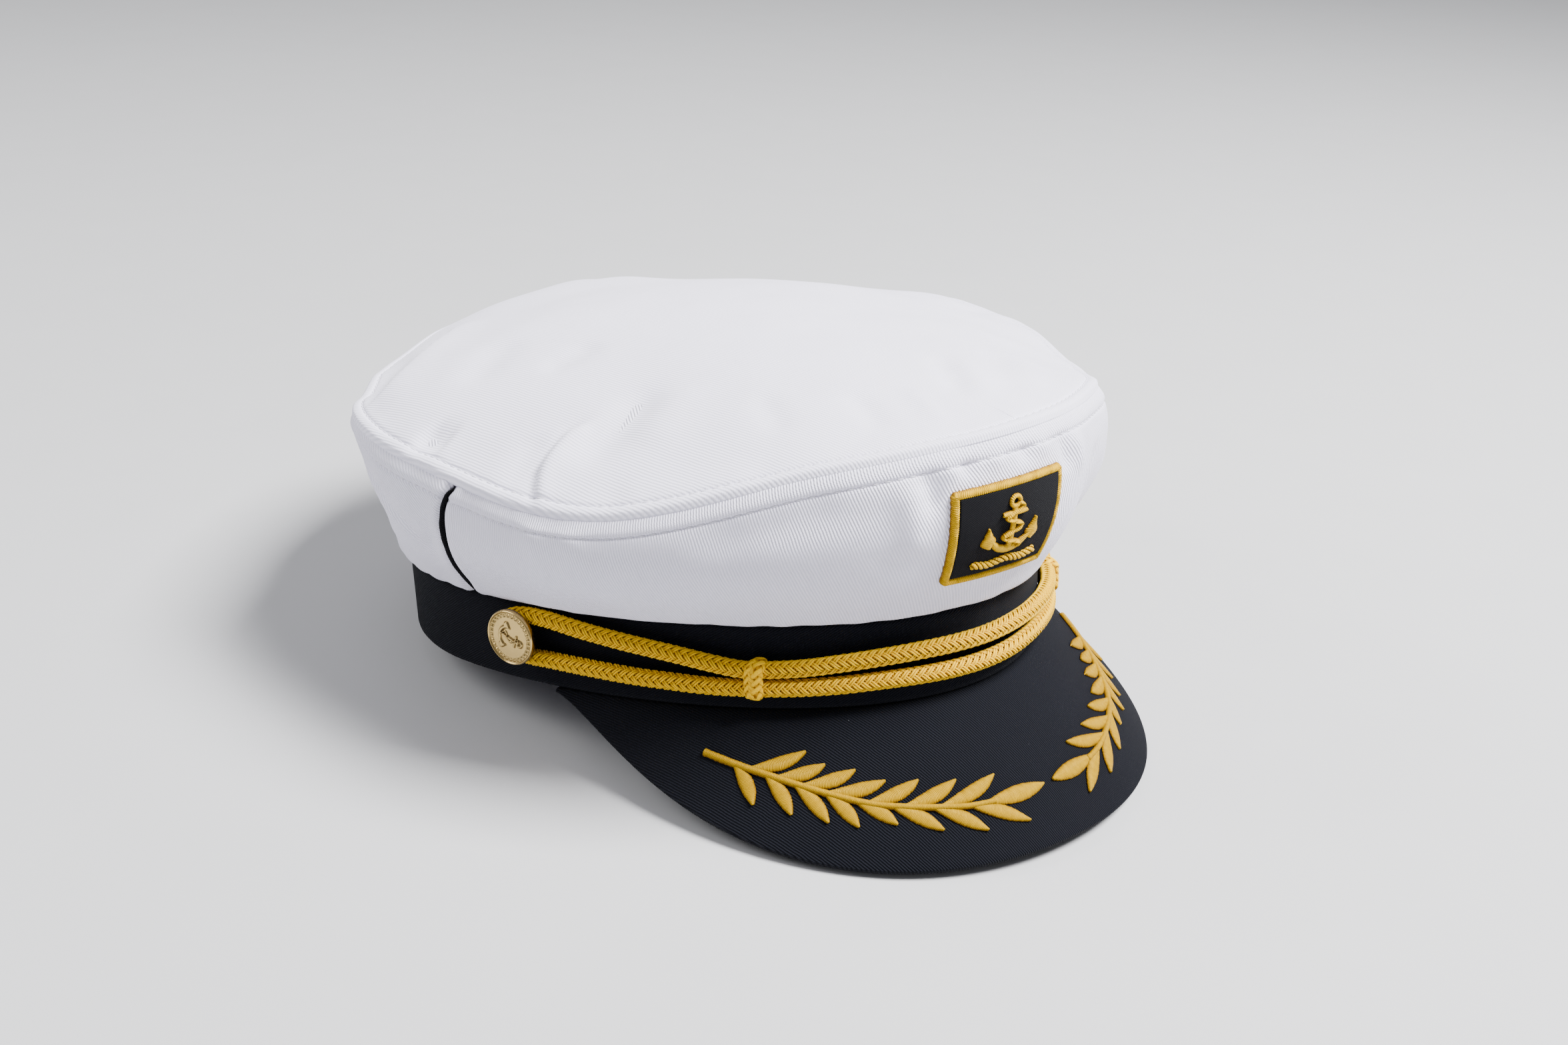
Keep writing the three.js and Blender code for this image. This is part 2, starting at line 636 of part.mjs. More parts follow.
const slotHalf = slotTurn(PIPING_WIDTH + 2 * CLEARANCE);
const pipingHalf = slotTurn(PIPING_WIDTH);
const band = add("head_band", makeBand(), "navy");
const peak = add("peak", makePeak(), "navy");
add(
  "crown_side_front",
  makePanel(
    (share) => slotHalf - pipingTurn(share),
    (share) => pipingTurn(share) - slotHalf,
    31,
    0,
    -CROWN_WALL,
  ),
  "white",
);
add(
  "crown_side_back",
  makePanel(
    (share) => pipingTurn(share) + slotHalf,
    (share) => 360 - pipingTurn(share) - slotHalf,
    33,
    0,
    -CROWN_WALL,
  ),
  "white",
);
add("crown_top", makeCrownTop(), "white");
for (const [name, side] of [
  ["right", 1],
  ["left", -1],
]) {
  const edge = (offset) => (share) => side * (pipingTurn(share) + offset);
  add(
    "side_piping_" + name,
    makePanel(edge(-pipingHalf), edge(pipingHalf), 2, PIPING_PROUD, -CROWN_WALL),
    "black",
  );
  add("laurel_" + name, makeLaurel(side), "gold");
  add("cord_knot_" + name, makeKnot(side), "gold");
  const button = add("button_" + name, makeButton(), "brass");
  button.position.copy(bandPoint(side * BUTTON_TURN, 0, BUTTON_UP * BAND_HEIGHT));
  button.quaternion.setFromUnitVectors(new THREE.Vector3(0, 1, 0), outwards(side * BUTTON_TURN));
}
add("cord_loop", makeCord(), "gold");
add("patch_ground", makePatchGround(), "black");
add("patch_border", makePatchBorder(), "gold");
add("patch_anchor", makeAnchor(), "gold");
add("patch_rope_bar", makeRopeBar(), "gold");

// The lowest point of a piece once the cap is tipped back by an angle.
function lowest(mesh, tilt) {
  const places = mesh.geometry.attributes.position;
  let low = Infinity;
  for (let k = 0; k < places.count; k++)
    low = Math.min(low, places.getZ(k) * Math.cos(tilt) - places.getY(k) * Math.sin(tilt));
  return low;
}

// Tips the cap back until the peak and the band reach equally low, as it lies on a table.
function restTilt() {
  let [low, high] = [0, Math.PI / 6];
  for (let step = 0; step < 40; step++) {
    const middle = (low + high) / 2;
    if (lowest(peak, middle) < lowest(band, middle)) low = middle;
    else high = middle;
  }
  return low;
}

cap.rotation.x = -restTilt();
const tipped = new THREE.Group();
tipped.add(cap);
tipped.updateMatrixWorld(true);
const bounds = new THREE.Box3().setFromObject(tipped, true);
const middle = bounds.getCenter(new THREE.Vector3());
cap.position.set(-middle.x, -middle.y, -bounds.min.z);

export default tipped;
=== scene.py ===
import logging
import math
from dataclasses import dataclass, field
from enum import Enum
from typing import Callable, Optional, Sequence

import bpy
import numpy as np
from mathutils import Matrix

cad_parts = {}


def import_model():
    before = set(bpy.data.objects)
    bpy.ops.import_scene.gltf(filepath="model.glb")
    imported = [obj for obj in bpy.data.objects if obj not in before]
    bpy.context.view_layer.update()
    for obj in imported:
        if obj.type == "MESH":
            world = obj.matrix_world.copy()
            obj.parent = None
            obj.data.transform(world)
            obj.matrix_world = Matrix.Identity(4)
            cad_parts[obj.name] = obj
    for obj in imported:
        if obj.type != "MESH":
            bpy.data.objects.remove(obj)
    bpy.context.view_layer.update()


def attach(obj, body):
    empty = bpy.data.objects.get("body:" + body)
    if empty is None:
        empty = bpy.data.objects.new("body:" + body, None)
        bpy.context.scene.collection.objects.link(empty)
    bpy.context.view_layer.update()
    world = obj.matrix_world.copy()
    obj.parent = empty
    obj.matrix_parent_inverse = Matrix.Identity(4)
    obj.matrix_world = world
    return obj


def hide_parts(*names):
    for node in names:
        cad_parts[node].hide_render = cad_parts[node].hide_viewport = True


# A soft yachting cap with a navy band and peak, a white crown, gold laurel branches, a braided gold cord with two
# buttons, and an anchor patch. Shapes are worked out in the cap's own frame, in millimetres: the band's lower edge
# lies in z = 0, the wearer faces -Y and the wearer's right is -X. A turn is an angle round the head in degrees, 0 at
# the front and growing to the wearer's right. Each finished mesh is placed as the cap rests, in metres.

Array = np.ndarray
Value = object
LOG = logging.getLogger("captain_hat")
MM = 0.001
UP = np.array([0.0, 0.0, 1.0])
SIDES = ((1, "right"), (-1, "left"))
BAND_HEIGHT = 22.5
PATCH_TURN = 3.8
PATCH_UP = 0.53
GOLD_TINT = (1.0, 0.8, 0.35, 1.0)
THREAD_ENDS = 4096
LAUREL_PITCH = 0.36


# Small geometry


def unit(vectors: Array) -> Array:
    """Vectors scaled to length one, along the last axis."""
    return vectors / np.maximum(np.linalg.norm(vectors, axis=-1, keepdims=True), 1e-12)


def bell(distance: Array, width: float) -> Array:
    """A smooth bump: one at distance nought, falling off over a width, as exp(-(d / w) squared)."""
    return np.exp(-((distance / width) ** 2))


def ease(values: Array) -> Array:
    """A smooth step from nought to one for values from nought to one: 3 v squared less 2 v cubed."""
    held = np.clip(values, 0.0, 1.0)
    return held * held * (3.0 - 2.0 * held)


def run_along(points: Array) -> Array:
    """The distance from a line's first point to each of its points, along the pieces between them."""
    return np.concatenate([[0.0], np.cumsum(np.linalg.norm(np.diff(points, axis=0), axis=1))])


def matched(*values: Array) -> list[Array]:
    """The values as floating numbers, each spread to the shape that they share."""
    return np.broadcast_arrays(*(np.asarray(value, float) for value in values))


def pairs_of(u: Array, v: Array) -> Array:
    """Texture coordinates from two values, each spread to the shape that they share."""
    return np.stack(np.broadcast_arrays(u, v), axis=-1)


def tube(middle: Array, side: Array, up: Array, angles: Array) -> Array:
    """Rings of points round a line: middle + side x cosine of the angle + up x sine of the angle.

    Args:
        middle: points of the line, ... x 3.
        side: where a ring's point stands from the middle at angle 0.
        up: where it stands at a quarter turn.
        angles: of a ring's points.

    Returns:
        Points, ... x angles x 3.
    """
    turned = angles[:, None]
    return middle[..., None, :] + side[..., None, :] * np.cos(turned) + up[..., None, :] * np.sin(turned)


def doubled_ends(rows: Array) -> Array:
    """Rows with the first and the last of them given twice."""
    return np.concatenate([rows[:1], rows, rows[-1:]])


def closed_ends(middle: Array, rings: Array) -> Array:
    """Rings of a line, followed and preceded by a row that lies in the line's own end point, which closes the tube.

    Args:
        middle: points of the line, rows x 3.
        rings: rows x columns x 3.

    Returns:
        Two more rows than in the rings.
    """
    count = rings.shape[1]
    return np.concatenate([middle[:1, None].repeat(count, 1), rings, middle[-1:, None].repeat(count, 1)])


def through(points: Array, places: Array, ring: bool = False) -> Array:
    """A smooth curve through points, as the cubic that passes each one in the direction of its neighbours.

    Args:
        points: the given points, one in each row.
        places: where to read the curve; whole numbers are the given points.
        ring: whether the last point is followed by the first.

    Returns:
        One row for each place.
    """
    count = len(points)
    base = np.floor(places).astype(int)
    if not ring:
        base = np.clip(base, 0, count - 2)
    part = (places - base)[:, None]

    def pick(step: int) -> Array:
        """The given points a number of steps on from each place."""
        index = base + step
        return points[index % count] if ring else points[np.clip(index, 0, count - 1)]

    a, b, c, d = pick(-1), pick(0), pick(1), pick(2)
    return b + 0.5 * part * (c - a + part * (2 * a - 5 * b + 4 * c - d + part * (3 * (b - c) + d - a)))


def even_curve(points: Array, step: float, ring: bool = False) -> Array:
    """The smooth curve through points, read again at equal distances of about one step.

    Args:
        points: the given points.
        step: the wanted distance, in millimetres.
        ring: whether the curve closes.

    Returns:
        The new points; a ring doesn't repeat its first one.
    """
    last = len(points) if ring else len(points) - 1
    fine = through(points, np.linspace(0, last, last * 24 + 1), ring)
    run = run_along(fine)
    count = max(4, int(round(run[-1] / step)))
    wanted = np.linspace(0, run[-1], count + 1)
    even = np.stack([np.interp(wanted, run, fine[:, k]) for k in range(fine.shape[1])], axis=1)
    return even[:-1] if ring else even


def soft_noise(x: Array, y: Array, size: float, seed: int) -> Array:
    """Smooth random waves from about -1 to 1: a seeded lattice of values with eased steps between them.

    Args:
        x: first coordinate.
        y: second coordinate, of the same shape.
        size: width of one lattice cell.
        seed: picks the lattice.

    Returns:
        One value for each point.
    """
    lattice = np.random.default_rng(seed).uniform(-1, 1, (128, 128))
    u, v = x / size + 64.5, y / size + 64.5
    i, j = np.floor(u).astype(int), np.floor(v).astype(int)
    s, t = ease(u - i), ease(v - j)
    rows = [lattice[(i + a) % 128, (j + b) % 128] for a, b in ((0, 0), (1, 0), (0, 1), (1, 1))]
    return (rows[0] * (1 - s) + rows[1] * s) * (1 - t) + (rows[2] * (1 - s) + rows[3] * s) * t


def grid_normals(points: Array, ring: bool = False) -> Array:
    """The direction square to a grid of points, from the differences along its rows and columns.

    Args:
        points: rows x columns x 3.
        ring: whether the last column repeats the first.

    Returns:
        Unit vectors, rows x columns x 3, along rows crossed with columns.
    """
    down = np.gradient(points, axis=0)
    if ring:
        open_part = points[:, :-1]
        across = np.roll(open_part, -1, axis=1) - np.roll(open_part, 1, axis=1)
        across = np.concatenate([across, across[:, :1]], axis=1)
    else:
        across = np.gradient(points, axis=1)
    return unit(np.cross(down, across))


# Meshes


def linked(name: str, data: bpy.types.ID) -> bpy.types.Object:
    """A new object of the given data, in the scene's own collection.

    Args:
        name: plain name of the object.
        data: its mesh, light or camera.

    Returns:
        The object.
    """
    made = bpy.data.objects.new(name, data)
    bpy.context.scene.collection.objects.link(made)
    return made


@dataclass
class Sheet:
    """A grid of points with its texture coordinates. Equal points are welded, so a sheet may close on itself."""

    points: Array
    uv: Array
    finish: int = 0
    # A value for each point that the cord and metal finishes darken by, as painted shade.
    depth: Optional[Array] = None


@dataclass(frozen=True)
class CapPlace:
    """Where the cap's own frame lies once the cap rests on its peak and the back of its band."""

    tilt: float = 0.15125375
    shift: tuple[float, float, float] = (-2.579765, 17.937, 12.777469)

    def turned(self, vectors: Array) -> Array:
        """Directions of the cap's own frame as they lie at rest: a turn back round the level side axis.

        Args:
            vectors: directions, ... x 3.

        Returns:
            The same directions in the shared frame.
        """
        c, s = math.cos(self.tilt), math.sin(self.tilt)
        x, y, z = vectors[..., 0], vectors[..., 1], vectors[..., 2]
        return np.stack([x, y * c + z * s, z * c - y * s], axis=-1)

    def world(self, points: Array) -> Array:
        """Points in millimetres of the cap's own frame as metres of the shared frame."""
        return (self.turned(points) + np.array(self.shift)) * MM


@dataclass
class MeshMaker:
    """Turns sheets into finished Blender pieces that ride with the cap."""

    place: CapPlace = field(default_factory=CapPlace)

    @staticmethod
    def _weld(sheets: Sequence[Sheet]) -> tuple[Array, Array, Array, Array, Array]:
        """Joins the sheets of one closed shell.

        Points that agree to a thousandth of a millimetre become one. The sum of the signed volumes between each
        face and the origin tells whether the shell looks inwards, and then every face is turned round.

        Args:
            sheets: grids that close together.

        Returns:
            Points, faces of four corners (a repeated corner marks a triangle), their texture coordinates, their
            finishes, and a depth for each point.
        """
        spots, quads, uvs, finishes, depths = [], [], [], [], []
        start = 0
        for sheet in sheets:
            rows, columns = sheet.points.shape[:2]
            index = start + np.arange(rows * columns).reshape(rows, columns)
            quad = np.stack([index[:-1, :-1], index[:-1, 1:], index[1:, 1:], index[1:, :-1]], axis=-1)
            uv = np.stack([sheet.uv[:-1, :-1], sheet.uv[:-1, 1:], sheet.uv[1:, 1:], sheet.uv[1:, :-1]], axis=2)
            spots.append(sheet.points.reshape(-1, 3))
            quads.append(quad.reshape(-1, 4))
            uvs.append(uv.reshape(-1, 4, 2))
            finishes.append(np.full(len(quads[-1]), sheet.finish))
            depth = np.zeros(rows * columns) if sheet.depth is None else sheet.depth.reshape(-1)
            depths.append(depth)
            start += rows * columns
        points = np.concatenate(spots)
        key = np.round(points * 1000).astype(np.int64) + 500000  # over nought, and below two to the power 21
        packed = key[:, 0] << 42 | key[:, 1] << 21 | key[:, 2]
        _, first, same = np.unique(packed, return_index=True, return_inverse=True)
        faces = same.reshape(-1)[np.concatenate(quads)]
        points = points[first]
        uv, finish = np.concatenate(uvs), np.concatenate(finishes)
        flat = (faces[:, 0] == faces[:, 2]) | (faces[:, 1] == faces[:, 3])
        pairs = sum((faces[:, k] == faces[:, (k + 1) % 4]).astype(int) for k in range(4))
        kept = ~flat & (pairs < 2)
        faces, uv, finish = faces[kept], uv[kept], finish[kept]
        a, b, c, d = (points[faces[:, k]] for k in range(4))
        volume = np.einsum("ij,ij->", a, np.cross(b, c)) + np.einsum("ij,ij->", a, np.cross(c, d))
        if volume < 0:
            faces, uv = faces[:, ::-1], uv[:, ::-1]
        return points, faces, uv, finish, np.concatenate(depths)[first]

    def piece(
        self,
        name: str,
        shells: Sequence[Sequence[Sheet]],
        finishes: Sequence[bpy.types.Material],
        slot: str,
        stands_for: Sequence[str],
    ) -> bpy.types.Object:
        """Makes one object of closed shells, in metres, with its place in its mesh.

        Args:
            name: plain name of the piece.
            shells: each is a row of sheets that close together.
            finishes: the materials that the sheets number.
            slot: the record's material slot; not used.
            stands_for: the nodes that the piece replaces.

        Returns:
            The new object, riding on the cap.
        """
        parts = [self._weld(shell) for shell in shells]
        starts = np.cumsum([0] + [len(part[0]) for part in parts[:-1]])
        points = self.place.world(np.concatenate([part[0] for part in parts]))
        faces = np.concatenate([part[1] + start for part, start in zip(parts, starts)])
        uv = np.concatenate([part[2] for part in parts])
        finish = np.concatenate([part[3] for part in parts])
        depth = np.concatenate([part[4] for part in parts])
        repeated = faces == np.roll(faces, 1, axis=1)
        three = repeated.any(axis=1)
        used = ~repeated
        sizes = np.where(three, 3, 4)
        mesh = bpy.data.meshes.new(name)
        mesh.vertices.add(len(points))
        mesh.vertices.foreach_set("co", points.astype(np.float32).reshape(-1))
        mesh.loops.add(int(sizes.sum()))
        mesh.loops.foreach_set("vertex_index", faces[used].astype(np.int32))
        mesh.polygons.add(len(faces))
        starts_of = np.concatenate([[0], np.cumsum(sizes)[:-1]])
        mesh.polygons.foreach_set("loop_start", starts_of.astype(np.int32))
        mesh.polygons.foreach_set("material_index", finish.astype(np.int32))
        mesh.polygons.foreach_set("use_smooth", np.ones(len(faces), dtype=bool))
        layer = mesh.uv_layers.new(name="cloth")
        layer.data.foreach_set("uv", uv[used].astype(np.float32).reshape(-1))
        # The depth attribute carries the painted shade of the cord and metal finishes.
        if depth.any():
            made = mesh.attributes.new("depth", "FLOAT", "POINT")
            made.data.foreach_set("value", depth.astype(np.float32))
        for material in finishes:
            mesh.materials.append(material)
        mesh.update(calc_edges=True)
        mesh.validate()
        piece = linked(name, mesh)
        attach(piece, "root")
        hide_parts(*stands_for)
        LOG.info("%s: %d triangles", name, int((sizes - 2).sum()))
        return piece


# Finishes


class Shader:
    """A material with a Principled shader, and short ways to add and join its nodes."""

    def __init__(self, name: str, roughness: float, specular: float = 0.3, metallic: float = 0.0) -> None:
        """Starts the material with the values that are the same all over.

        Args:
            name: plain name of the finish.
            roughness: of the surface.
            specular: specular level.
            metallic: one for metal.
        """
        self.material = bpy.data.materials.new(name)
        self.material.use_nodes = True
        self.tree = self.material.node_tree
        self.surface = self.tree.nodes["Principled BSDF"]
        self.surface.inputs["Roughness"].default_value = roughness
        self.surface.inputs["Specular IOR Level"].default_value = specular
        self.surface.inputs["Metallic"].default_value = metallic

    def add(self, kind: str, inputs: dict, **settings: object) -> bpy.types.Node:
        """Adds a node, sets its options, and sets or joins its inputs.

        Args:
            kind: the node's type.
            inputs: input name or number to a value or to another node's output.
            settings: options of the node.

        Returns:
            The node.
        """
        node = self.tree.nodes.new(kind)
        for key, value in settings.items():
            setattr(node, key, value)
        for key, value in inputs.items():
            if isinstance(value, bpy.types.NodeSocket):
                self.tree.links.new(value, node.inputs[key])
            else:
                node.inputs[key].default_value = value
        return node

    def math(self, operation: str, a: Value, b: Value = 0.0, c: Value = 0.0) -> bpy.types.NodeSocket:
        """The result of a Math node on up to three values."""
        return self.add("ShaderNodeMath", {0: a, 1: b, 2: c}, operation=operation).outputs[0]

    def wave(self, place: Value, pitch: float) -> bpy.types.NodeSocket:
        """A wave from nought to one that repeats every pitch: (1 + sin(2 pi x / pitch)) / 2."""
        sine = self.math("SINE", self.math("MULTIPLY", place, 2 * math.pi / pitch))
        return self.math("MULTIPLY_ADD", sine, 0.5, 0.5)

    def noise(self, vector: Value, scale: float, detail: float = 2.0, rough: float = 0.5) -> bpy.types.NodeSocket:
        """Noise from nought to one."""
        settings = {"Vector": vector, "Scale": scale, "Detail": detail, "Roughness": rough}
        return self.add("ShaderNodeTexNoise", settings).outputs[0]

    def mix(self, share: Value, first: Value, second: Value) -> bpy.types.NodeSocket:
        """Mixes two colours.

        Args:
            share: of the second colour, from 0 to 1.
            first: colour at share 0.
            second: colour at share 1.

        Returns:
            The mixed colour.
        """
        node = self.add("ShaderNodeMix", {}, data_type="RGBA")
        for socket, value in zip((node.inputs[0], node.inputs[6], node.inputs[7]), (share, first, second)):
            if isinstance(value, bpy.types.NodeSocket):
                self.tree.links.new(value, socket)
            else:
                socket.default_value = value
        return node.outputs[2]

    def uv(self) -> bpy.types.NodeSocket:
        """The cloth's own coordinates, in millimetres."""
        return self.add("ShaderNodeUVMap", {}, uv_map="cloth").outputs[0]

    def place(self) -> bpy.types.NodeSocket:
        """Object coordinates, in metres."""
        return self.add("ShaderNodeTexCoord", {}).outputs["Object"]

    def split(self, vector: Value) -> tuple[bpy.types.NodeSocket, bpy.types.NodeSocket]:
        """The first two parts of a vector."""
        node = self.add("ShaderNodeSeparateXYZ", {0: vector})
        return node.outputs[0], node.outputs[1]

    def finish(self, colour: Value, height: Value, depth_mm: float, strength: float = 1.0) -> bpy.types.Material:
        """Joins the colour and a bump to the surface.

        Args:
            colour: of the surface.
            height: from 0 to 1, for the bump.
            depth_mm: the bump's depth at height 1, in millimetres.
            strength: of the bump.

        Returns:
            The material.
        """
        bump = self.add("ShaderNodeBump", {"Height": height, "Distance": depth_mm * MM, "Strength": strength})
        self.tree.links.new(bump.outputs[0], self.surface.inputs["Normal"])
        self.tree.links.new(colour, self.surface.inputs["Base Color"])
        return self.material


Colour = tuple[float, float, float, float]


@dataclass(frozen=True)
class TwillFinish:
    """Cotton twill: raised slanted ribs of fine yarn, with uneven threads, faint clouds of tone and stray lint, and
    painted shade in the grooves between the ribs.
    """

    name: str
    rib: Colour
    groove_shade: Colour
    lint: Colour
    pitch: float = 1.1
    slant: float = 75.0
    depth: float = 0.16
    roughness: float = 0.85
    sheen: float = 0.25
    specular: float = 0.22
    cloud: float = 0.06
    lint_share: float = 0.0

    def make(self) -> bpy.types.Material:
        """Builds the material.

        The coordinate across the ribs is the cloth's coordinate turned by the slant and shifted by soft noise. The
        rib is a wave of that coordinate, and a second wave along it, shifted from rib to rib, gives the yarn.

        Returns:
            The material.
        """
        shader = Shader(self.name, self.roughness, self.specular)
        shader.surface.inputs["Sheen Weight"].default_value = self.sheen
        shader.surface.inputs["Sheen Roughness"].default_value = 0.5
        uv = shader.uv()
        turned = shader.add(
            "ShaderNodeMapping", {"Vector": uv, "Rotation": (0.0, 0.0, -math.radians(self.slant))}
        ).outputs[0]
        along, across = shader.split(turned)
        wobble = shader.math("MULTIPLY_ADD", shader.noise(uv, 0.12, 3.0, 0.6), 0.7, -0.35)
        place = shader.math("ADD", across, wobble)
        rib = shader.wave(place, self.pitch)
        yarn = shader.wave(shader.math("MULTIPLY_ADD", place, 0.62, along), 0.62 * self.pitch)
        fuzz = shader.noise(uv, 2.6, 3.0, 0.7)
        body = shader.math("MULTIPLY_ADD", yarn, 0.22, shader.math("POWER", rib, 0.8))
        height = shader.math("MULTIPLY_ADD", fuzz, 0.35, body)
        # Painted shade: the colour falls from the rib colour to the darker groove colour where the relief is low.
        tone = shader.mix(shader.math("MULTIPLY", height, 0.75), self.groove_shade, self.rib)
        cloud = shader.math("MULTIPLY_ADD", shader.noise(uv, 0.035, 4.0, 0.6), 2 * self.cloud, 1 - self.cloud)
        shaded = shader.add("ShaderNodeVectorMath", {0: tone, "Scale": cloud}, operation="SCALE").outputs[0]
        if self.lint_share > 0:
            specks = shader.add("ShaderNodeTexVoronoi", {"Vector": uv, "Scale": 0.11}).outputs["Distance"]
            near = shader.math("LESS_THAN", specks, self.lint_share)
            shaded = shader.mix(near, shaded, self.lint)
        return shader.finish(shaded, height, self.depth)


@dataclass(frozen=True)
class ThreadFinish:
    """Shiny embroidery thread laid side by side, with painted shade between the threads and at their ends. The first
    coordinate runs over the threads, the second along one.
    """

    name: str
    bright: Colour
    dark: Colour
    pitch: float = 0.42
    depth: float = 0.09
    roughness: float = 0.42
    specular: float = 0.18

    def make(self) -> bpy.types.Material:
        """Builds the material: a wave over the threads, with painted shade darker between them and near the ends of
        each thread, where it dives into the cloth.

        Returns:
            The material.
        """
        shader = Shader(self.name, self.roughness, self.specular)
        shader.surface.inputs["Specular Tint"].default_value = GOLD_TINT
        uv = shader.uv()
        over, along = shader.split(uv)
        drift = shader.math("MULTIPLY_ADD", shader.noise(uv, 0.7, 2.0), 0.5, -0.25)
        ridge = shader.wave(shader.math("ADD", over, drift), self.pitch)
        end = shader.math("POWER", shader.math("ABSOLUTE", along), 4.0)
        tone_noise = shader.noise(shader.place(), 900.0, 2.0)
        # Painted shade: the share of the dark colour grows near the thread's ends and between the ridges; the noise
        # adds random tone.
        low = shader.math("MULTIPLY_ADD", end, 0.75, shader.math("MULTIPLY_ADD", ridge, -0.4, 0.42))
        share = shader.math("MULTIPLY_ADD", tone_noise, 0.35, low)
        limited = shader.add("ShaderNodeClamp", {"Value": shader.math("SUBTRACT", share, 0.15)}).outputs[0]
        colour = shader.mix(limited, self.bright, self.dark)
        return shader.finish(colour, ridge, self.depth)


@dataclass(frozen=True)
class CordFinish:
    """Braided shiny cord: each strand is a bundle of filaments, with painted shade, darker and redder, where it dives
    under another, along its sides and on the core.
    """

    name: str
    bright: Colour
    dark: Colour
    filaments: float = 9.0
    roughness: float = 0.4
    specular: float = 0.18

    def make(self) -> bpy.types.Material:
        """Builds the material: filament lines along each strand, and painted shade that follows the strand's depth
        value.

        Returns:
            The material.
        """
        shader = Shader(self.name, self.roughness, self.specular)
        shader.surface.inputs["Specular Tint"].default_value = GOLD_TINT
        along, round_it = shader.split(shader.uv())
        twist = shader.math("MULTIPLY_ADD", along, 0.06, round_it)
        lines = shader.wave(twist, 1.0 / self.filaments)
        depth = shader.add("ShaderNodeAttribute", {}, attribute_name="depth").outputs["Fac"]
        tone_noise = shader.noise(shader.place(), 700.0, 2.0)
        # Painted shade: the depth value mixes in the dark colour.
        share = shader.math("MULTIPLY_ADD", lines, -0.12, shader.math("MULTIPLY_ADD", tone_noise, 0.2, depth))
        limited = shader.add("ShaderNodeClamp", {"Value": share}).outputs[0]
        colour = shader.mix(limited, self.bright, self.dark)
        return shader.finish(colour, lines, depth_mm=0.05)


@dataclass(frozen=True)
class BrassFinish:
    """Pale gold plated metal, pressed: polished on the high marks, satin in the ground, with fine scratches, and
    painted shade that darkens the ground round the marks.
    """

    name: str
    bright: Colour
    dull: Colour

    def make(self) -> bpy.types.Material:
        """Builds the material: the pressing's depth value makes the ground rougher, and darker as painted shade.

        Returns:
            The material.
        """
        shader = Shader(self.name, roughness=0.3, specular=0.5, metallic=1.0)
        place = shader.place()
        depth = shader.add("ShaderNodeAttribute", {}, attribute_name="depth").outputs["Fac"]
        cloud = shader.noise(place, 260.0, 3.0)
        grain = shader.noise(place, 2600.0, 2.0)
        share = shader.math("MULTIPLY_ADD", cloud, 0.3, depth)
        limited = shader.add("ShaderNodeClamp", {"Value": shader.math("SUBTRACT", share, 0.1)}).outputs[0]
        rough = shader.math("MULTIPLY_ADD", limited, 0.18, 0.22)
        shader.tree.links.new(rough, shader.surface.inputs["Roughness"])
        # Painted shade: the dull colour, far darker than the bright one, stands for shade round the marks.
        colour = shader.mix(limited, self.bright, self.dull)
        return shader.finish(colour, grain, depth_mm=0.02, strength=0.6)


class Finishes:
    """All the finishes of the cap, made once."""

    def __init__(self) -> None:
        """Makes each material. A twill's colours are those of its ribs, of the grooves between them, darker as
        painted shade, and of lint.
        """
        white = ((0.87, 0.84, 0.97, 1.0), (0.65, 0.64, 0.77, 1.0), (0.7, 0.7, 0.75, 1.0))
        navy = ((0.0062, 0.0068, 0.0105, 1.0), (0.0014, 0.0015, 0.0026, 1.0), (0.08, 0.08, 0.09, 1.0))
        dull = {"sheen": 0.02, "specular": 0.06}
        self.top_twill = TwillFinish("white_twill_top", *white, pitch=0.76, slant=98.5, depth=0.08).make()
        self.side_twill = TwillFinish("white_twill_side", *white, pitch=0.765, slant=62.5, depth=0.18).make()
        self.band_twill = TwillFinish(
            "navy_twill_band", *navy, pitch=0.58, slant=149.0, cloud=0.12, lint_share=0.012, **dull
        ).make()
        self.peak_twill = TwillFinish(
            "navy_twill_peak", *navy, pitch=0.65, slant=104.0, depth=0.22, cloud=0.12, lint_share=0.014, **dull
        ).make()
        black = ((0.0075, 0.0075, 0.0095, 1.0), (0.0022, 0.0022, 0.003, 1.0), (0.1, 0.1, 0.1, 1.0))
        self.patch_twill = TwillFinish("black_patch_cloth", *black, pitch=0.5, slant=30.0, **dull).make()
        self.piping = TwillFinish("black_piping", *black, pitch=0.6, slant=45.0, **dull).make()
        # The second colour of each thread finish is painted shade between the threads and at their ends; the sewing
        # thread's is dark for the stitch holes.
        sewing = ((0.86, 0.84, 0.94, 1.0), (0.26, 0.26, 0.3, 1.0))
        self.white_thread = ThreadFinish("white_sewing_thread", *sewing, pitch=0.6, depth=0.02, roughness=0.6).make()
        self.laurel_thread = ThreadFinish(
            "gold_laurel_thread", (0.43, 0.25, 0.0, 1.0), (0.13, 0.053, 0.0, 1.0), pitch=LAUREL_PITCH
        ).make()
        gold = ((0.71, 0.42, 0.0, 1.0), (0.22, 0.095, 0.0, 1.0))
        self.gold_thread = ThreadFinish("gold_embroidery", *gold).make()
        self.border_thread = ThreadFinish("gold_overlock", *gold, pitch=0.5, depth=0.16).make()
        self.gold_cord = CordFinish("gold_cord", (0.9, 0.54, 0.0, 1.0), (0.4, 0.17, 0.0, 1.0)).make()
        self.brass = BrassFinish("pale_gold_metal", (0.52, 0.37, 0.14, 1.0), (0.1, 0.06, 0.018, 1.0)).make()


# The head band's oval


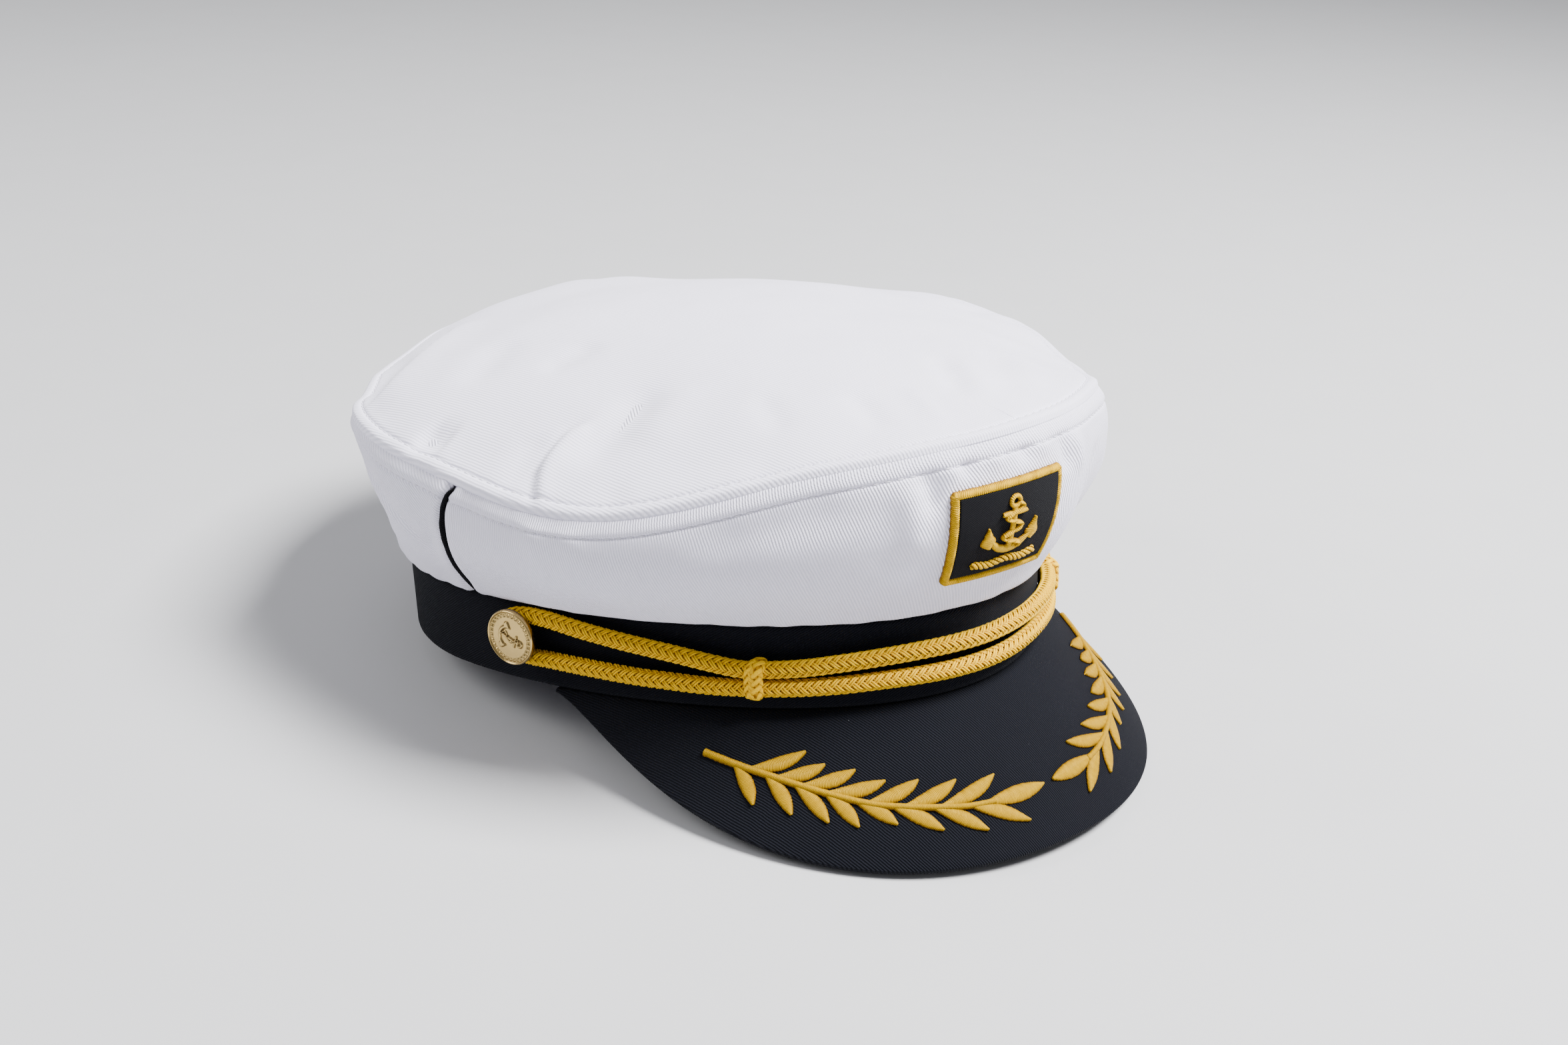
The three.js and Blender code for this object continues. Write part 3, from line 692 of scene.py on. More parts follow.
@dataclass(frozen=True)
class HeadOval:
    """The band's outer oval, narrower at the front and drawn in at the back."""

    front: float = 110.0
    rear: float = 84.8
    side: float = 88.9
    taper: float = 0.178
    pinch: float = 0.09

    def outline(self, turn: Array) -> Array:
        """The level oval: side x sine and length x cosine of the turn, narrowed by the taper and the pinch.

        Args:
            turn: in degrees.

        Returns:
            Points at height 0.
        """
        angle = np.radians(np.asarray(turn, float))
        ahead = np.cos(angle)
        length = np.where(ahead < 0, self.rear, self.front)
        pinch = np.where(ahead < 0, self.pinch * ahead**2, 0.0)
        across = -self.side * np.sin(angle) * (1 - self.taper * length / self.front * ahead) * (1 - pinch)
        return np.stack([across, -length * ahead, np.zeros_like(ahead)], axis=-1)

    def outwards(self, turn: Array) -> Array:
        """The level direction that looks straight out: the oval's tangent turned by a right angle."""
        along = unit(self.outline(np.asarray(turn) + 0.01) - self.outline(np.asarray(turn) - 0.01))
        return np.stack([-along[..., 1], along[..., 0], np.zeros_like(along[..., 0])], axis=-1)

    def at(self, turn: Array, out: Array, height: Array) -> Array:
        """Points by turn, distance out of the oval and height.

        Args:
            turn: in degrees.
            out: distance square to the oval.
            height: over the band's lower edge.

        Returns:
            One point for each, in the shape that the three share.
        """
        turn, out, height = matched(turn, out, height)
        points = self.outline(turn) + self.outwards(turn) * out[..., None]
        points[..., 2] += height
        return points

    def arc(self, turn: Array) -> Array:
        """Millimetres along the oval from the front to a turn, negative towards the wearer's left.

        Args:
            turn: in degrees, at most 370 either way.

        Returns:
            The length of the arc.
        """
        turns = np.linspace(-370, 370, 1481)
        run = run_along(self.outline(turns))
        return np.interp(turn, turns, run - np.interp(0.0, turns, run))


OVAL = HeadOval()


def slab(outer: Array, inner: Array, uv: Array, ring: bool = False, finish: int = 0, lining: int = 0) -> list[Sheet]:
    """A closed shell between two grids of equal size: both faces and a strip along each open edge.

    Args:
        outer: the face that shows, rows x columns x 3.
        inner: the face behind it.
        uv: texture coordinates of both faces.
        ring: whether the last column repeats the first.
        finish: finish of the outer face and of the edges.
        lining: finish of the inner face.

    Returns:
        The sheets of one shell.
    """
    sheets = [
        Sheet(outer, uv, finish),
        Sheet(inner[:, ::-1], uv[:, ::-1], lining),
        Sheet(np.stack([inner[0], outer[0]]), np.stack([uv[0], uv[0]]), finish),
        Sheet(np.stack([outer[-1], inner[-1]]), np.stack([uv[-1], uv[-1]]), finish),
    ]
    if not ring:
        first, last = np.stack([inner[:, 0], outer[:, 0]], axis=1), np.stack([outer[:, -1], inner[:, -1]], axis=1)
        sheets.append(Sheet(first, np.stack([uv[:, 0]] * 2, axis=1), finish))
        sheets.append(Sheet(last, np.stack([uv[:, -1]] * 2, axis=1), finish))
    return sheets


# Satin stitch: how unevenly the threads end, the power that rounds the padding, and the length of a rope's twist
RAGGED = 0.06
PADDING_POWER = 0.55
TWIST_LENGTH = 2.6


def satin(
    axis: Array,
    faces: Array,
    half_widths: Array,
    height: float,
    pitch: float,
    slant: float,
    seed: int,
    ring: bool = False,
    twist: float = 0.0,
    ridges: float = 0.2,
) -> list[Sheet]:
    """A strip of satin stitch: threads laid side by side across a padded line.

    A point at run s and width share w lies at axis + side x w x half width + face x (height x (1 - w squared) to the
    power 0.55 + ridge), where the ridge is the size of a half sine of (s + slant x w) / pitch. Each thread ends a
    little further out or in than the next one.

    Args:
        axis: points of the middle line, at even steps.
        faces: the direction square to the cloth at each point.
        half_widths: half the width at each point.
        height: of the padding over the cloth.
        pitch: distance between threads.
        slant: how far a thread leans along the line from edge to middle.
        seed: of the uneven thread ends.
        ring: whether the line closes.
        twist: height of a slow wave along the line, as in a twisted rope.
        ridges: height of the threads' ridges, as a share of their pitch.

    Returns:
        The sheets of one shell.
    """
    if ring:
        count = len(axis)
        along = unit(np.roll(axis, -1, axis=0) - np.roll(axis, 1, axis=0))
        pick = np.arange(count + 1) % count
        axis, faces, along, half_widths = axis[pick], faces[pick], along[pick], half_widths[pick]
    else:
        along = unit(np.gradient(axis, axis=0))
    run = run_along(axis)
    threads = max(1, round(run[-1] / pitch)) if ring else THREAD_ENDS
    pitch = run[-1] / threads if ring else pitch
    side = unit(np.cross(along, faces))
    w = np.sin(np.linspace(-np.pi / 2, np.pi / 2, 11))
    phase = (run[:, None] + slant * np.abs(w)) / pitch
    ends = np.random.default_rng(seed).uniform(-1, 1, THREAD_ENDS)
    number = np.floor(run[:, None] / pitch).astype(int) % threads
    ragged = 1 + RAGGED * ends[number] * np.abs(w) ** 3 * np.minimum(1.0, 1.2 / half_widths[:, None])
    padding = np.maximum(1 - w**2, 0.0) ** PADDING_POWER
    ridge = ridges * pitch * (np.abs(np.sin(np.pi * phase)) - 0.5)
    rise = height * padding * (1 + twist * np.sin(2 * np.pi * (run[:, None] + 1.6 * w) / TWIST_LENGTH))
    lift = rise + ridge * np.minimum(1.0, padding * 2.5)
    points = axis[:, None] + side[:, None] * (w * half_widths[:, None] * ragged)[..., None]
    points = points + faces[:, None] * np.maximum(lift, 0.0)[..., None]
    uv = pairs_of(phase * pitch, w)
    if not ring:
        points, uv = closed_ends(axis, points), doubled_ends(uv)
    return [Sheet(points, uv), Sheet(points[:, [-1, 0]], uv[:, [-1, 0]])]


def stitches(points: Array, faces: Array, length: float, share: float, thick: float) -> list[Sheet]:
    """A row of sewn stitches along a line: short bowed threads that dive into the cloth at both ends.

    A thread's middle stands over the line by thick x (0.55 x bow to the power 0.6 - 0.45), where the bow is half a
    sine from its one end to the other. Its radius is half its thickness x (0.35 + 0.65 x the bow's square root).

    Args:
        points: the line, at even steps of about half a millimetre or less.
        faces: the direction square to the cloth at each point.
        length: from the start of one stitch to the next.
        share: the part of it that shows.
        thick: thickness of the thread.

    Returns:
        The sheets of one shell of many separate threads.
    """
    run = run_along(points)
    count = int(run[-1] / length)
    t = np.linspace(0, 1, 7)
    places = (np.arange(count)[:, None] + (1 - share) / 2 + share * t) * length
    middle = np.stack([np.interp(places, run, points[:, k]) for k in range(3)], axis=-1)
    face = unit(np.stack([np.interp(places, run, faces[:, k]) for k in range(3)], axis=-1))
    along = unit(np.gradient(middle, axis=1))
    side = unit(np.cross(along, face))
    bow = np.sin(np.pi * t)[None, :, None]
    middle = middle + face * thick * (0.55 * bow**0.6 - 0.45)
    radius = thick / 2 * (0.35 + 0.65 * bow**0.5)
    angle = np.linspace(0, 2 * np.pi, 7)
    rings = tube(middle, side * radius, face * radius, angle)
    uv = doubled_ends(pairs_of(angle, 2 * t[:, None] - 1))
    return [Sheet(closed_ends(line, thread), uv) for line, thread in zip(middle, rings)]


class FoldKind(Enum):
    """How the cloth lies along a fold."""

    SWELL = "swell"
    TUCK = "tuck"


@dataclass(frozen=True)
class Fold:
    """A fold along a line on the cloth. A swell is a bell-shaped ridge, or a hollow where its height is negative; a
    tuck stands up on the line's left side and drops sharply to the right."""

    path: tuple[tuple[float, float], ...]
    width: float
    height: float
    kind: FoldKind = FoldKind.SWELL
    fade: float = 0.3

    def relief(self, x: Array, y: Array) -> Array:
        """How far the fold lifts the cloth: its shape across, faded at the line's ends.

        Args:
            x: first coordinate of the points.
            y: second coordinate.

        Returns:
            The lift in millimetres.
        """
        path = even_curve(np.array(self.path, float), 4.0) if len(self.path) > 2 else np.array(self.path, float)
        lengths = np.linalg.norm(np.diff(path, axis=0), axis=1)
        total, done = lengths.sum(), 0.0
        best, run, hand = np.full(x.shape, 1e9), np.zeros(x.shape), np.ones(x.shape)
        for (x1, y1), (x2, y2), length in zip(path[:-1], path[1:], lengths):
            dx, dy = (x2 - x1) / length, (y2 - y1) / length
            t = np.clip((x - x1) * dx + (y - y1) * dy, 0, length)
            away = np.hypot(x - x1 - dx * t, y - y1 - dy * t)
            nearer = away < best
            best = np.where(nearer, away, best)
            run = np.where(nearer, (done + t) / total, run)
            hand = np.where(nearer, np.sign(dx * (y - y1) - dy * (x - x1)), hand)
            done += length
        fade = ease(run / self.fade) * ease((1 - run) / self.fade)
        if self.kind is FoldKind.TUCK:
            signed = best * hand
            step = 0.5 * (1 + np.tanh(signed / 0.9))
            across = step * bell(np.maximum(signed, 0.0), self.width)
            across = across - (1 - step) * 0.45 * bell(best, self.width * 0.6)
        else:
            across = bell(best, self.width)
        return self.height * across * fade


@dataclass(frozen=True)
class Settling:
    """Where the soft crown has sagged or filled out: moves in millimetres, each felt round its own place."""

    reach: float = 17.0
    moves: tuple[tuple[tuple[float, float, float], tuple[float, float, float]], ...] = (
        ((-88, 56, 68), (1.7, -2.0, -1.5)),
        ((-79, 67, 69), (1.2, -1.6, -1.5)),
        ((-67, 79, 69), (0.5, -0.9, -1.1)),
        ((-55, 87, 71), (0.5, -1.1, -1.6)),
        ((-26, 81, 77), (-0.1, 0.4, 0.8)),
        ((-12, 77, 79), (0.1, 0.5, 1.3)),
        ((9, 76, 80), (0.4, 0.7, 2.5)),
        ((14, 59, 83), (0.4, 0.3, 1.5)),
        ((24, 51, 84), (-0.1, -0.1, -0.6)),
        ((39, 29, 85), (-0.1, -0.1, -0.3)),
        ((55, 18, 83), (-0.2, -0.1, -0.6)),
        ((70, 9, 80), (-0.2, -0.1, -0.7)),
        ((103, 7, 69), (0.7, 0.2, 1.8)),
        ((103, -11, 68), (0.3, 0.0, 0.5)),
        ((99, -33, 65), (1.3, -0.3, 1.7)),
        ((93, -47, 64), (0.3, -0.1, 0.3)),
        ((67, -88, 66), (-0.6, 0.3, -0.6)),
        ((54, -104, 62), (0.7, -0.5, 0.1)),
        ((40, -109, 38), (-1.3, 1.7, 1.7)),
        ((26, -111, 30), (0.5, -0.7, -0.6)),
        ((-96, 37, 50), (0.7, -0.4, 0.4)),
        ((-96, 29, 38), (2.5, -1.6, 0.9)),
        ((-90, 30, 26), (-1.1, 0.7, -0.4)),
    )

    def settle(self, points: Array) -> Array:
        """Points moved by the sum of all moves, each times exp(-(distance / reach) squared).

        Args:
            points: ... x 3.

        Returns:
            The moved points.
        """
        moved = np.array(points, float)
        for place, move in self.moves:
            away = np.linalg.norm(points - np.array(place, float), axis=-1)
            moved += bell(away, self.reach)[..., None] * np.array(move)
        return moved


@dataclass
class SeamStrip:
    """The finished cloth near a seam, read by turn and by distance from the seam."""

    turns: Array
    distances: Array
    points: Array
    faces: Array

    def read(self, turn: Array, distance: Array) -> tuple[Array, Array]:
        """The cloth at a turn and a distance, from the four nearest grid points.

        Args:
            turn: one for each place.
            distance: from the seam, one for each place.

        Returns:
            Points and outward directions.
        """

        def position(value: Array, grid: Array) -> Array:
            """Where a value lies among a grid's rows or columns, as a number that counts them from nought."""
            return np.clip(np.interp(value, grid, np.arange(len(grid))), 0, len(grid) - 1.001)

        row, column = position(distance, self.distances), position(turn, self.turns)
        i, j = row.astype(int), column.astype(int)
        s, t = (row - i)[:, None], (column - j)[:, None]

        def blend(grid: Array) -> Array:
            """A grid read between its four nearest entries, by the shares s down and t across."""
            low = grid[i, j] * (1 - t) + grid[i, j + 1] * t
            high = grid[i + 1, j] * (1 - t) + grid[i + 1, j + 1] * t
            return low * (1 - s) + high * s

        return blend(self.points), unit(blend(self.faces))


# Folds of the top, on its plan: across towards the wearer's left and along towards the back, in millimetres
TOP_FOLDS = (
    Fold(((-53, 21), (-66, 12), (-78, 6)), 6.5, -1.1),
    Fold(((-42, -8), (-52, -9), (-62, -7)), 5.0, -0.9),
    Fold(((-48, -40), (-56, -45.5), (-65, -49), (-73, -50), (-82, -49)), 6.0, -1.4),
    Fold(((-44, -50), (-55, -57), (-68, -61)), 7.5, 0.7),
    Fold(((-66, -42), (-72, -38.5), (-79, -40), (-85, -42.5), (-91, -50), (-93, -54)), 4.6, 1.4, FoldKind.TUCK, 0.2),
    Fold(((-76, -32), (-84, -36), (-92, -43)), 5.0, -0.8),
    Fold(((-91, -10), (-92.5, -4), (-93, 3)), 4.5, -1.5),
    Fold(((-38, 66), (-52, 58), (-70, 45), (-84, 37), (-96, 34)), 9.0, 1.9, FoldKind.TUCK, 0.25),
    Fold(((-60, 70), (-74, 57), (-88, 45)), 6.0, -1.0),
    Fold(((12, -82), (5, -96), (-4, -109)), 3.6, -0.9),
    Fold(((18, -84), (11, -98), (3, -112)), 3.6, 0.6),
    Fold(((34, -80), (21, -98), (9, -114)), 4.2, -0.9),
    Fold(((44, -78), (32, -97), (21, -112)), 4.5, 0.6),
    Fold(((-37, -70), (-42, -82), (-46, -92)), 3.6, -0.6),
    Fold(((-22, -88), (-26, -99), (-30, -109)), 3.4, -0.6),
    Fold(((-9, -95), (-13, -106), (-17, -116)), 3.0, 0.5),
    Fold(((60, -58), (50, -78), (42, -96)), 6.0, -0.8),
    Fold(((78, -30), (88, -20), (97, -14)), 6.0, -0.9),
    Fold(((40, 60), (52, 68), (62, 76)), 7.0, -1.0),
    Fold(((10, 62), (12, 74), (12, 86)), 6.0, -0.9),
    Fold(((80, 30), (88, 36), (94, 42)), 5.0, 0.8),
)
# Folds of the side panels: along the cloth from the front towards the wearer's right, and up from the band
SIDE_FOLDS = (
    Fold(((28, 39), (45, 37), (62, 34), (80, 29)), 5.5, -1.1),
    Fold(((100, 33), (112, 34), (124, 33)), 6.0, 0.9),
    Fold(((24.0, 49), (23.5, 44), (22.5, 38), (22.5, 33)), 2.6, -1.9, fade=0.4),
    Fold(((29, 47), (28, 38), (27, 30), (28, 22)), 3.2, 1.3),
    Fold(((19.0, 48), (18.5, 44), (18.5, 38)), 2.0, 1.3, fade=0.4),
    Fold(((15.5, 49), (15.5, 45), (15.0, 41)), 1.9, -1.3, fade=0.4),
    Fold(((9, 48.5), (8.5, 45), (8, 42)), 2.0, 0.9, fade=0.4),
    Fold(((1.5, 49), (1, 45.5), (0.5, 42)), 1.9, -1.2, fade=0.4),
    Fold(((-3.5, 49), (-4, 45.5), (-4.5, 42)), 2.2, 0.8, fade=0.4),
    Fold(((-10, 49), (-11, 43), (-13.5, 36)), 2.2, -1.3, fade=0.4),
    Fold(((-15, 49), (-17, 42), (-20, 33)), 2.4, 1.2, fade=0.4),
    Fold(((36, 28), (32, 22), (20, 19)), 4.0, -0.6),
    Fold(((203, 34), (185, 28), (168, 21), (158, 12)), 4.0, 1.2, FoldKind.TUCK),
    Fold(((190, 18), (174, 13), (160, 6)), 4.0, 0.9),
    Fold(((150, 30), (156, 20), (160, 12)), 4.0, -0.7),
    Fold(((-34, 40), (-30, 30), (-28, 18)), 4.0, -0.9),
    Fold(((-58, 30), (-48, 20), (-42, 8)), 5.0, 0.9),
    Fold(((-90, 34), (-96, 22), (-98, 10)), 5.0, -0.9),
    Fold(((-128, 33), (-120, 22), (-118, 10)), 5.0, 0.8),
    Fold(((235, 36), (228, 24), (226, 10)), 5.0, -0.9),
    Fold(((290, 36), (300, 24), (303, 12)), 5.5, 1.0),
    Fold(((345, 36), (336, 26), (332, 12)), 5.0, -0.9),
    Fold(((400, 34), (408, 22), (410, 12)), 5.0, 0.9),
)

# Distances from a seam at which the cloth has a row of points
SEAM_ROWS = np.array([0.0, 0.2, 0.5, 0.9, 1.4, 1.9, 2.4, 2.8, 3.1, 3.3, 3.5, 3.75, 4.1, 4.7, 5.5, 6.4, 7.4, 8.6, 9.8])
# The row whose turns stand for a whole side strip: the first one past the stitches
STRIP_ROW = 11
STITCH_ROW = 3.4
STITCH_LENGTH = 3.0


def welt(distance: Array, arc: Array) -> Array:
    """The relief beside a topstitched seam.

    The cloth rolls in at the seam, is padded by its turned-in edge as far as the stitch row, and is drawn in there,
    with soft puckers beyond it: 0.4 x half a sine of distance / row to the power 0.6, less a bell of 0.35 at the seam
    and one of 0.42 at the row, plus 0.4 x the puckers.

    Args:
        distance: from the seam.
        arc: place along the seam.

    Returns:
        The relief in millimetres.
    """
    padded = np.sin(np.pi * np.clip(distance / STITCH_ROW, 0, 1)) ** 0.6
    puckers = soft_noise(arc, distance * 0.35, 7.0, 11) * bell(distance - STITCH_ROW - 2.0, 4.5)
    return 0.4 * padded - 0.35 * bell(distance, 0.7) - 0.42 * bell(distance - STITCH_ROW, 0.42) + 0.4 * puckers


@dataclass
class Assembly:
    """A sub-assembly of the cap: what makes its pieces, and the finishes that it picks from."""

    makes: MeshMaker
    finishes: Finishes


@dataclass
class Crown(Assembly):
    """The soft white crown: two side panels, a domed top, black piping in the side seams, and its topstitching."""

    clear: float = 0.3
    wall: float = 1.8
    lining: float = 0.8
    stretch: float = 1.1
    slot: float = 0.42
    lip: float = 0.8
    reach: float = 18.0
    rise: float = 48.0
    bulge: float = 8.0
    dome: float = 88.0
    dome_back: float = 6.0
    roundness: float = 2.2
    columns: int = 560
    reaches: tuple[float, ...] = (0.91, 1.0, 1.11, 0.66, 0.78, 1.0, 0.94, 0.89, 0.89, 0.97, 1.06, 0.87)
    rises: tuple[float, ...] = (1.03, 0.94, 0.69, 0.8, 0.92, 0.97, 1.04, 1.0, 0.91, 0.93, 0.82, 0.98)
    bulges: tuple[float, ...] = (1.0, 1.0, 1.0, 0.75, 0.31, 0.25, 0.38, 0.5, 0.75, 0.88, 1.0, 1.0)
    top_folds: tuple[Fold, ...] = TOP_FOLDS
    side_folds: tuple[Fold, ...] = SIDE_FOLDS
    settling: Settling = field(default_factory=Settling)

    def around(self, values: Sequence[float], turn: Array) -> Array:
        """A value given at equal steps round the head, read at any turn on a smooth closed curve.

        Args:
            values: the given ones, from the front towards the wearer's right.
            turn: where to read it.

        Returns:
            One value for each turn.
        """
        turn = np.asarray(turn, float)
        table = np.array(values)[:, None]
        places = (turn.reshape(-1) / 360 * len(values)) % len(values)
        return through(table, places, ring=True)[:, 0].reshape(turn.shape)

    def seam(self, turn: Array) -> Array:
        """The top seam: out of the band by the reach and over it by the rise."""
        reach = self.reach * self.around(self.reaches, turn)
        return OVAL.at(turn, reach, BAND_HEIGHT + self.rise * self.around(self.rises, turn))

    def side(self, turn: Array, share: Array, out: Array = 0.0) -> Array:
        """The side panel: a straight line from band to seam, with a belly of 4 x share x (1 - share).

        Args:
            turn: in degrees.
            share: of the height, 0 at the band and 1 at the seam.
            out: distance out of the panel's plain face.

        Returns:
            Points in the shape that the three share.
        """
        turn, share, out = matched(turn, share, out)
        foot = OVAL.at(turn, self.lip, BAND_HEIGHT + self.clear)
        head = self.seam(turn)
        head[..., 2] -= self.wall + self.clear
        belly = self.bulge * self.around(self.bulges, turn) * 4 * share * (1 - share)
        line = foot + (head - foot) * share[..., None]
        return self.settling.settle(line + OVAL.outwards(turn) * (belly + out)[..., None])

    def top(self, turn: Array, share: Array) -> Array:
        """The top panel: level lines to the middle, with a height that grows as 1 - (1 - share) to the roundness.

        Args:
            turn: in degrees.
            share: 0 at the seam and 1 in the middle.

        Returns:
            Points of the plain dome.
        """
        seam = self.seam(turn)
        risen = 1 - (1 - share) ** self.roundness
        x = seam[..., 0] * (1 - share)
        y = seam[..., 1] * (1 - share) + self.dome_back * share
        return self.settling.settle(np.stack([x, y, seam[..., 2] * (1 - risen) + self.dome * risen], axis=-1))

    @staticmethod
    def piping_turn(share: Array) -> Array:
        """The turn of the side seam at a height of the panel: back from the top at once, then slowly to the band."""
        fall = 1 - share
        return 80.4 + 1.7 * (1 - np.exp(-fall / 0.08)) + 1.3 * fall + 1.3 * fall**3

    def top_relief(self, x: Array, y: Array, distance: Array, arc: Array) -> Array:
        """How far the cloth of the top stands over the plain dome: folds, soft waves and the seam's own relief.

        Args:
            x: across, on the plan.
            y: along it.
            distance: from the seam.
            arc: place along the seam.

        Returns:
            The relief in millimetres.
        """
        inside = ease((distance - 2) / 14)
        waves = 0.55 * soft_noise(x, y, 34.0, 3) + 0.22 * soft_noise(x, y, 15.0, 5)
        height = waves * inside + welt(distance, arc)
        for fold in self.top_folds:
            height = height + fold.relief(x, y) * ease((distance + 2) / 8)
        return height

    def side_relief(self, turn: Array, share: Array, arc: Array, up: Array, distance: Array) -> Array:
        """How far the cloth of the sides stands out: folds, soft waves, the seam's relief and a puffed lower edge.

        Args:
            turn: in degrees.
            share: of the height.
            arc: place along the cloth.
            up: height over the band along the cloth.
            distance: from the top seam.

        Returns:
            The relief in millimetres, calm under the patch.
        """
        inside = ease((distance - 3) / 10) * ease(up / 9)
        waves = 0.35 * soft_noise(arc, up * 0.6, 22.0, 7) + 0.2 * soft_noise(arc, up * 0.8, 9.0, 9)
        gathers = 0.25 * soft_noise(arc, up * 0.25, 5.0, 13) * bell(up, 7.0)
        height = waves * inside + welt(distance, arc + 40.0) + gathers
        height = height + 0.7 * bell(up - 2.6, 2.4) - 0.6 * bell(up, 0.7)
        for fold in self.side_folds:
            height = height + fold.relief(arc, up) * ease(distance / 4) * ease(up / 5)
        return height * self.beside_patch(turn, share)

    def build_top(self) -> SeamStrip:
        """Makes the top panel: rows at set distances from the seam, then even steps to the middle.

        Returns:
            The strip beside the seam.
        """
        turns = np.linspace(0, 360, self.columns + 1)
        edge = self.seam(turns)
        span = np.hypot(edge[:, 0], edge[:, 1] - self.dome_back)
        near = SEAM_ROWS[:, None] / span[None]
        far = near[-1] + (1 - near[-1]) * np.linspace(0, 1, 56)[1:, None]
        share = np.concatenate([near, far])
        turn = np.broadcast_to(turns, share.shape)
        base = self.top(turn, share)
        faces = -grid_normals(base, ring=True)
        faces *= np.sign(faces[..., 2:3].mean())
        faces[-3:] = UP  # next to the middle point the differences have no direction
        distance = share * span
        arc = np.broadcast_to(OVAL.arc(turns), share.shape)
        calm = 1 - ease((share - 0.86) / 0.12)
        relief = self.top_relief(base[..., 0], base[..., 1], distance, arc)
        middle = relief[-1].mean()
        outer = base + faces * (relief * calm + middle * (1 - calm))[..., None]
        outer = outer + (OVAL.outwards(turn) * -0.35 - UP * 0.6) * bell(distance, 0.55)[..., None]
        outer[-1] = outer[-1].mean(axis=0)
        inner = base - faces * (self.wall * self.lining)
        inner[-1] = inner[-1].mean(axis=0)
        sheets = slab(outer, inner, base[..., :2].copy(), ring=True, finish=0, lining=1)[:3]
        look = [self.finishes.top_twill, self.finishes.side_twill]
        self.makes.piece("crown_top_panel", [sheets], look, "white_twill", ["crown_top"])
        made = -grid_normals(outer, ring=True)
        made *= np.sign(made[..., 2:3].mean())
        return SeamStrip(turns, SEAM_ROWS, outer[: len(SEAM_ROWS)], made[: len(SEAM_ROWS)])

    def build_side(self, name: str, start: Callable, end: Callable, columns: int) -> SeamStrip:
        """Makes a side panel between two turns that change with the height.

        Args:
            name: of the node that it replaces.
            start: first turn, as a function of the share of the height.
            end: last turn.
            columns: how many columns of points.

        Returns:
            The strip beside the top seam.
        """
        edge = np.array([0, 0.0005, 0.0013, 0.0025, 0.0042, 0.0065, 0.0095])
        part = np.concatenate([edge, np.linspace(0.0135, 0.9865, columns), 1 - edge[::-1]])
        rough = start(0.5) * (1 - part) + end(0.5) * part
        tall = np.linalg.norm(self.side(rough, np.ones_like(rough)) - self.side(rough, np.zeros_like(rough)), axis=1)
        tall = tall * (1 + 0.02 * self.around(self.bulges, rough))
        near = 1 - SEAM_ROWS[:, None] / tall
        hem = np.array([3.2, 2.4, 1.7, 1.1, 0.7, 0.35, 0.0])[:, None] / tall
        middle = near[-1] + (hem[0] - near[-1]) * np.linspace(0, 1, 26)[1:-1, None]
        share = np.concatenate([near, middle, hem])
        turn = start(share) * (1 - part) + end(share) * part
        base = self.side(turn, share)
        faces = grid_normals(base)
        look_out = np.einsum("ijk,ijk->ij", faces, OVAL.outwards(turn)).mean()
        faces = faces * np.sign(look_out)
        arc, up = OVAL.arc(turn) * self.stretch, share * tall
        distance = (1 - share) * tall
        from_edge = np.minimum(part, 1 - part) * abs(OVAL.arc(end(0.5)) - OVAL.arc(start(0.5))) * self.stretch
        rolled = 0.35 * bell(from_edge - 2.0, 1.3) - 0.7 * bell(from_edge, 0.7)
        relief = self.side_relief(turn, share, arc, up, distance) + rolled
        outer = base + faces * relief[..., None]
        outer = outer + (UP * 1.3 - OVAL.outwards(turn) * 0.45) * bell(distance, 0.7)[..., None]
        inner = base - faces * (self.wall * self.lining)
        cut = self.flat_cut(arc, up, self.stretch * OVAL.arc((start(0.5) + end(0.5)) / 2))
        sheets = slab(outer, inner, cut)
        self.makes.piece(name + "_panel", [sheets], [self.finishes.side_twill], "white_twill", [name])
        made = grid_normals(outer) * np.sign(look_out)
        return SeamStrip(turn[STRIP_ROW], SEAM_ROWS, outer[: len(SEAM_ROWS)], made[: len(SEAM_ROWS)])

    @staticmethod
    def flat_cut(arc: Array, up: Array, middle: float, radius: float = 286.0) -> Array:
        """Coordinates on the flat cloth that a side panel is cut from, a strip bent to a radius.

        A point lies at radius + height from the bend's middle, turned by its arc from the panel's middle / radius.

        Args:
            arc: place along the cloth.
            up: height over the band along the cloth.
            middle: arc of the panel's middle.
            radius: of the bend.

        Returns:
            Flat coordinates, ... x 2.
        """
        turned = (arc - middle) / radius
        return np.stack([(radius + up) * np.sin(turned), (radius + up) * np.cos(turned) - radius], axis=-1)

    @staticmethod
    def beside_patch(turn: Array, share: Array) -> Array:
        """One away from the patch and nought under it, so that the patch lies on calm cloth."""
        away = np.maximum(np.abs(turn - PATCH_TURN) / 9.6, np.abs(share - PATCH_UP) / 0.31)
        return ease((away - 0.9) / 0.45)

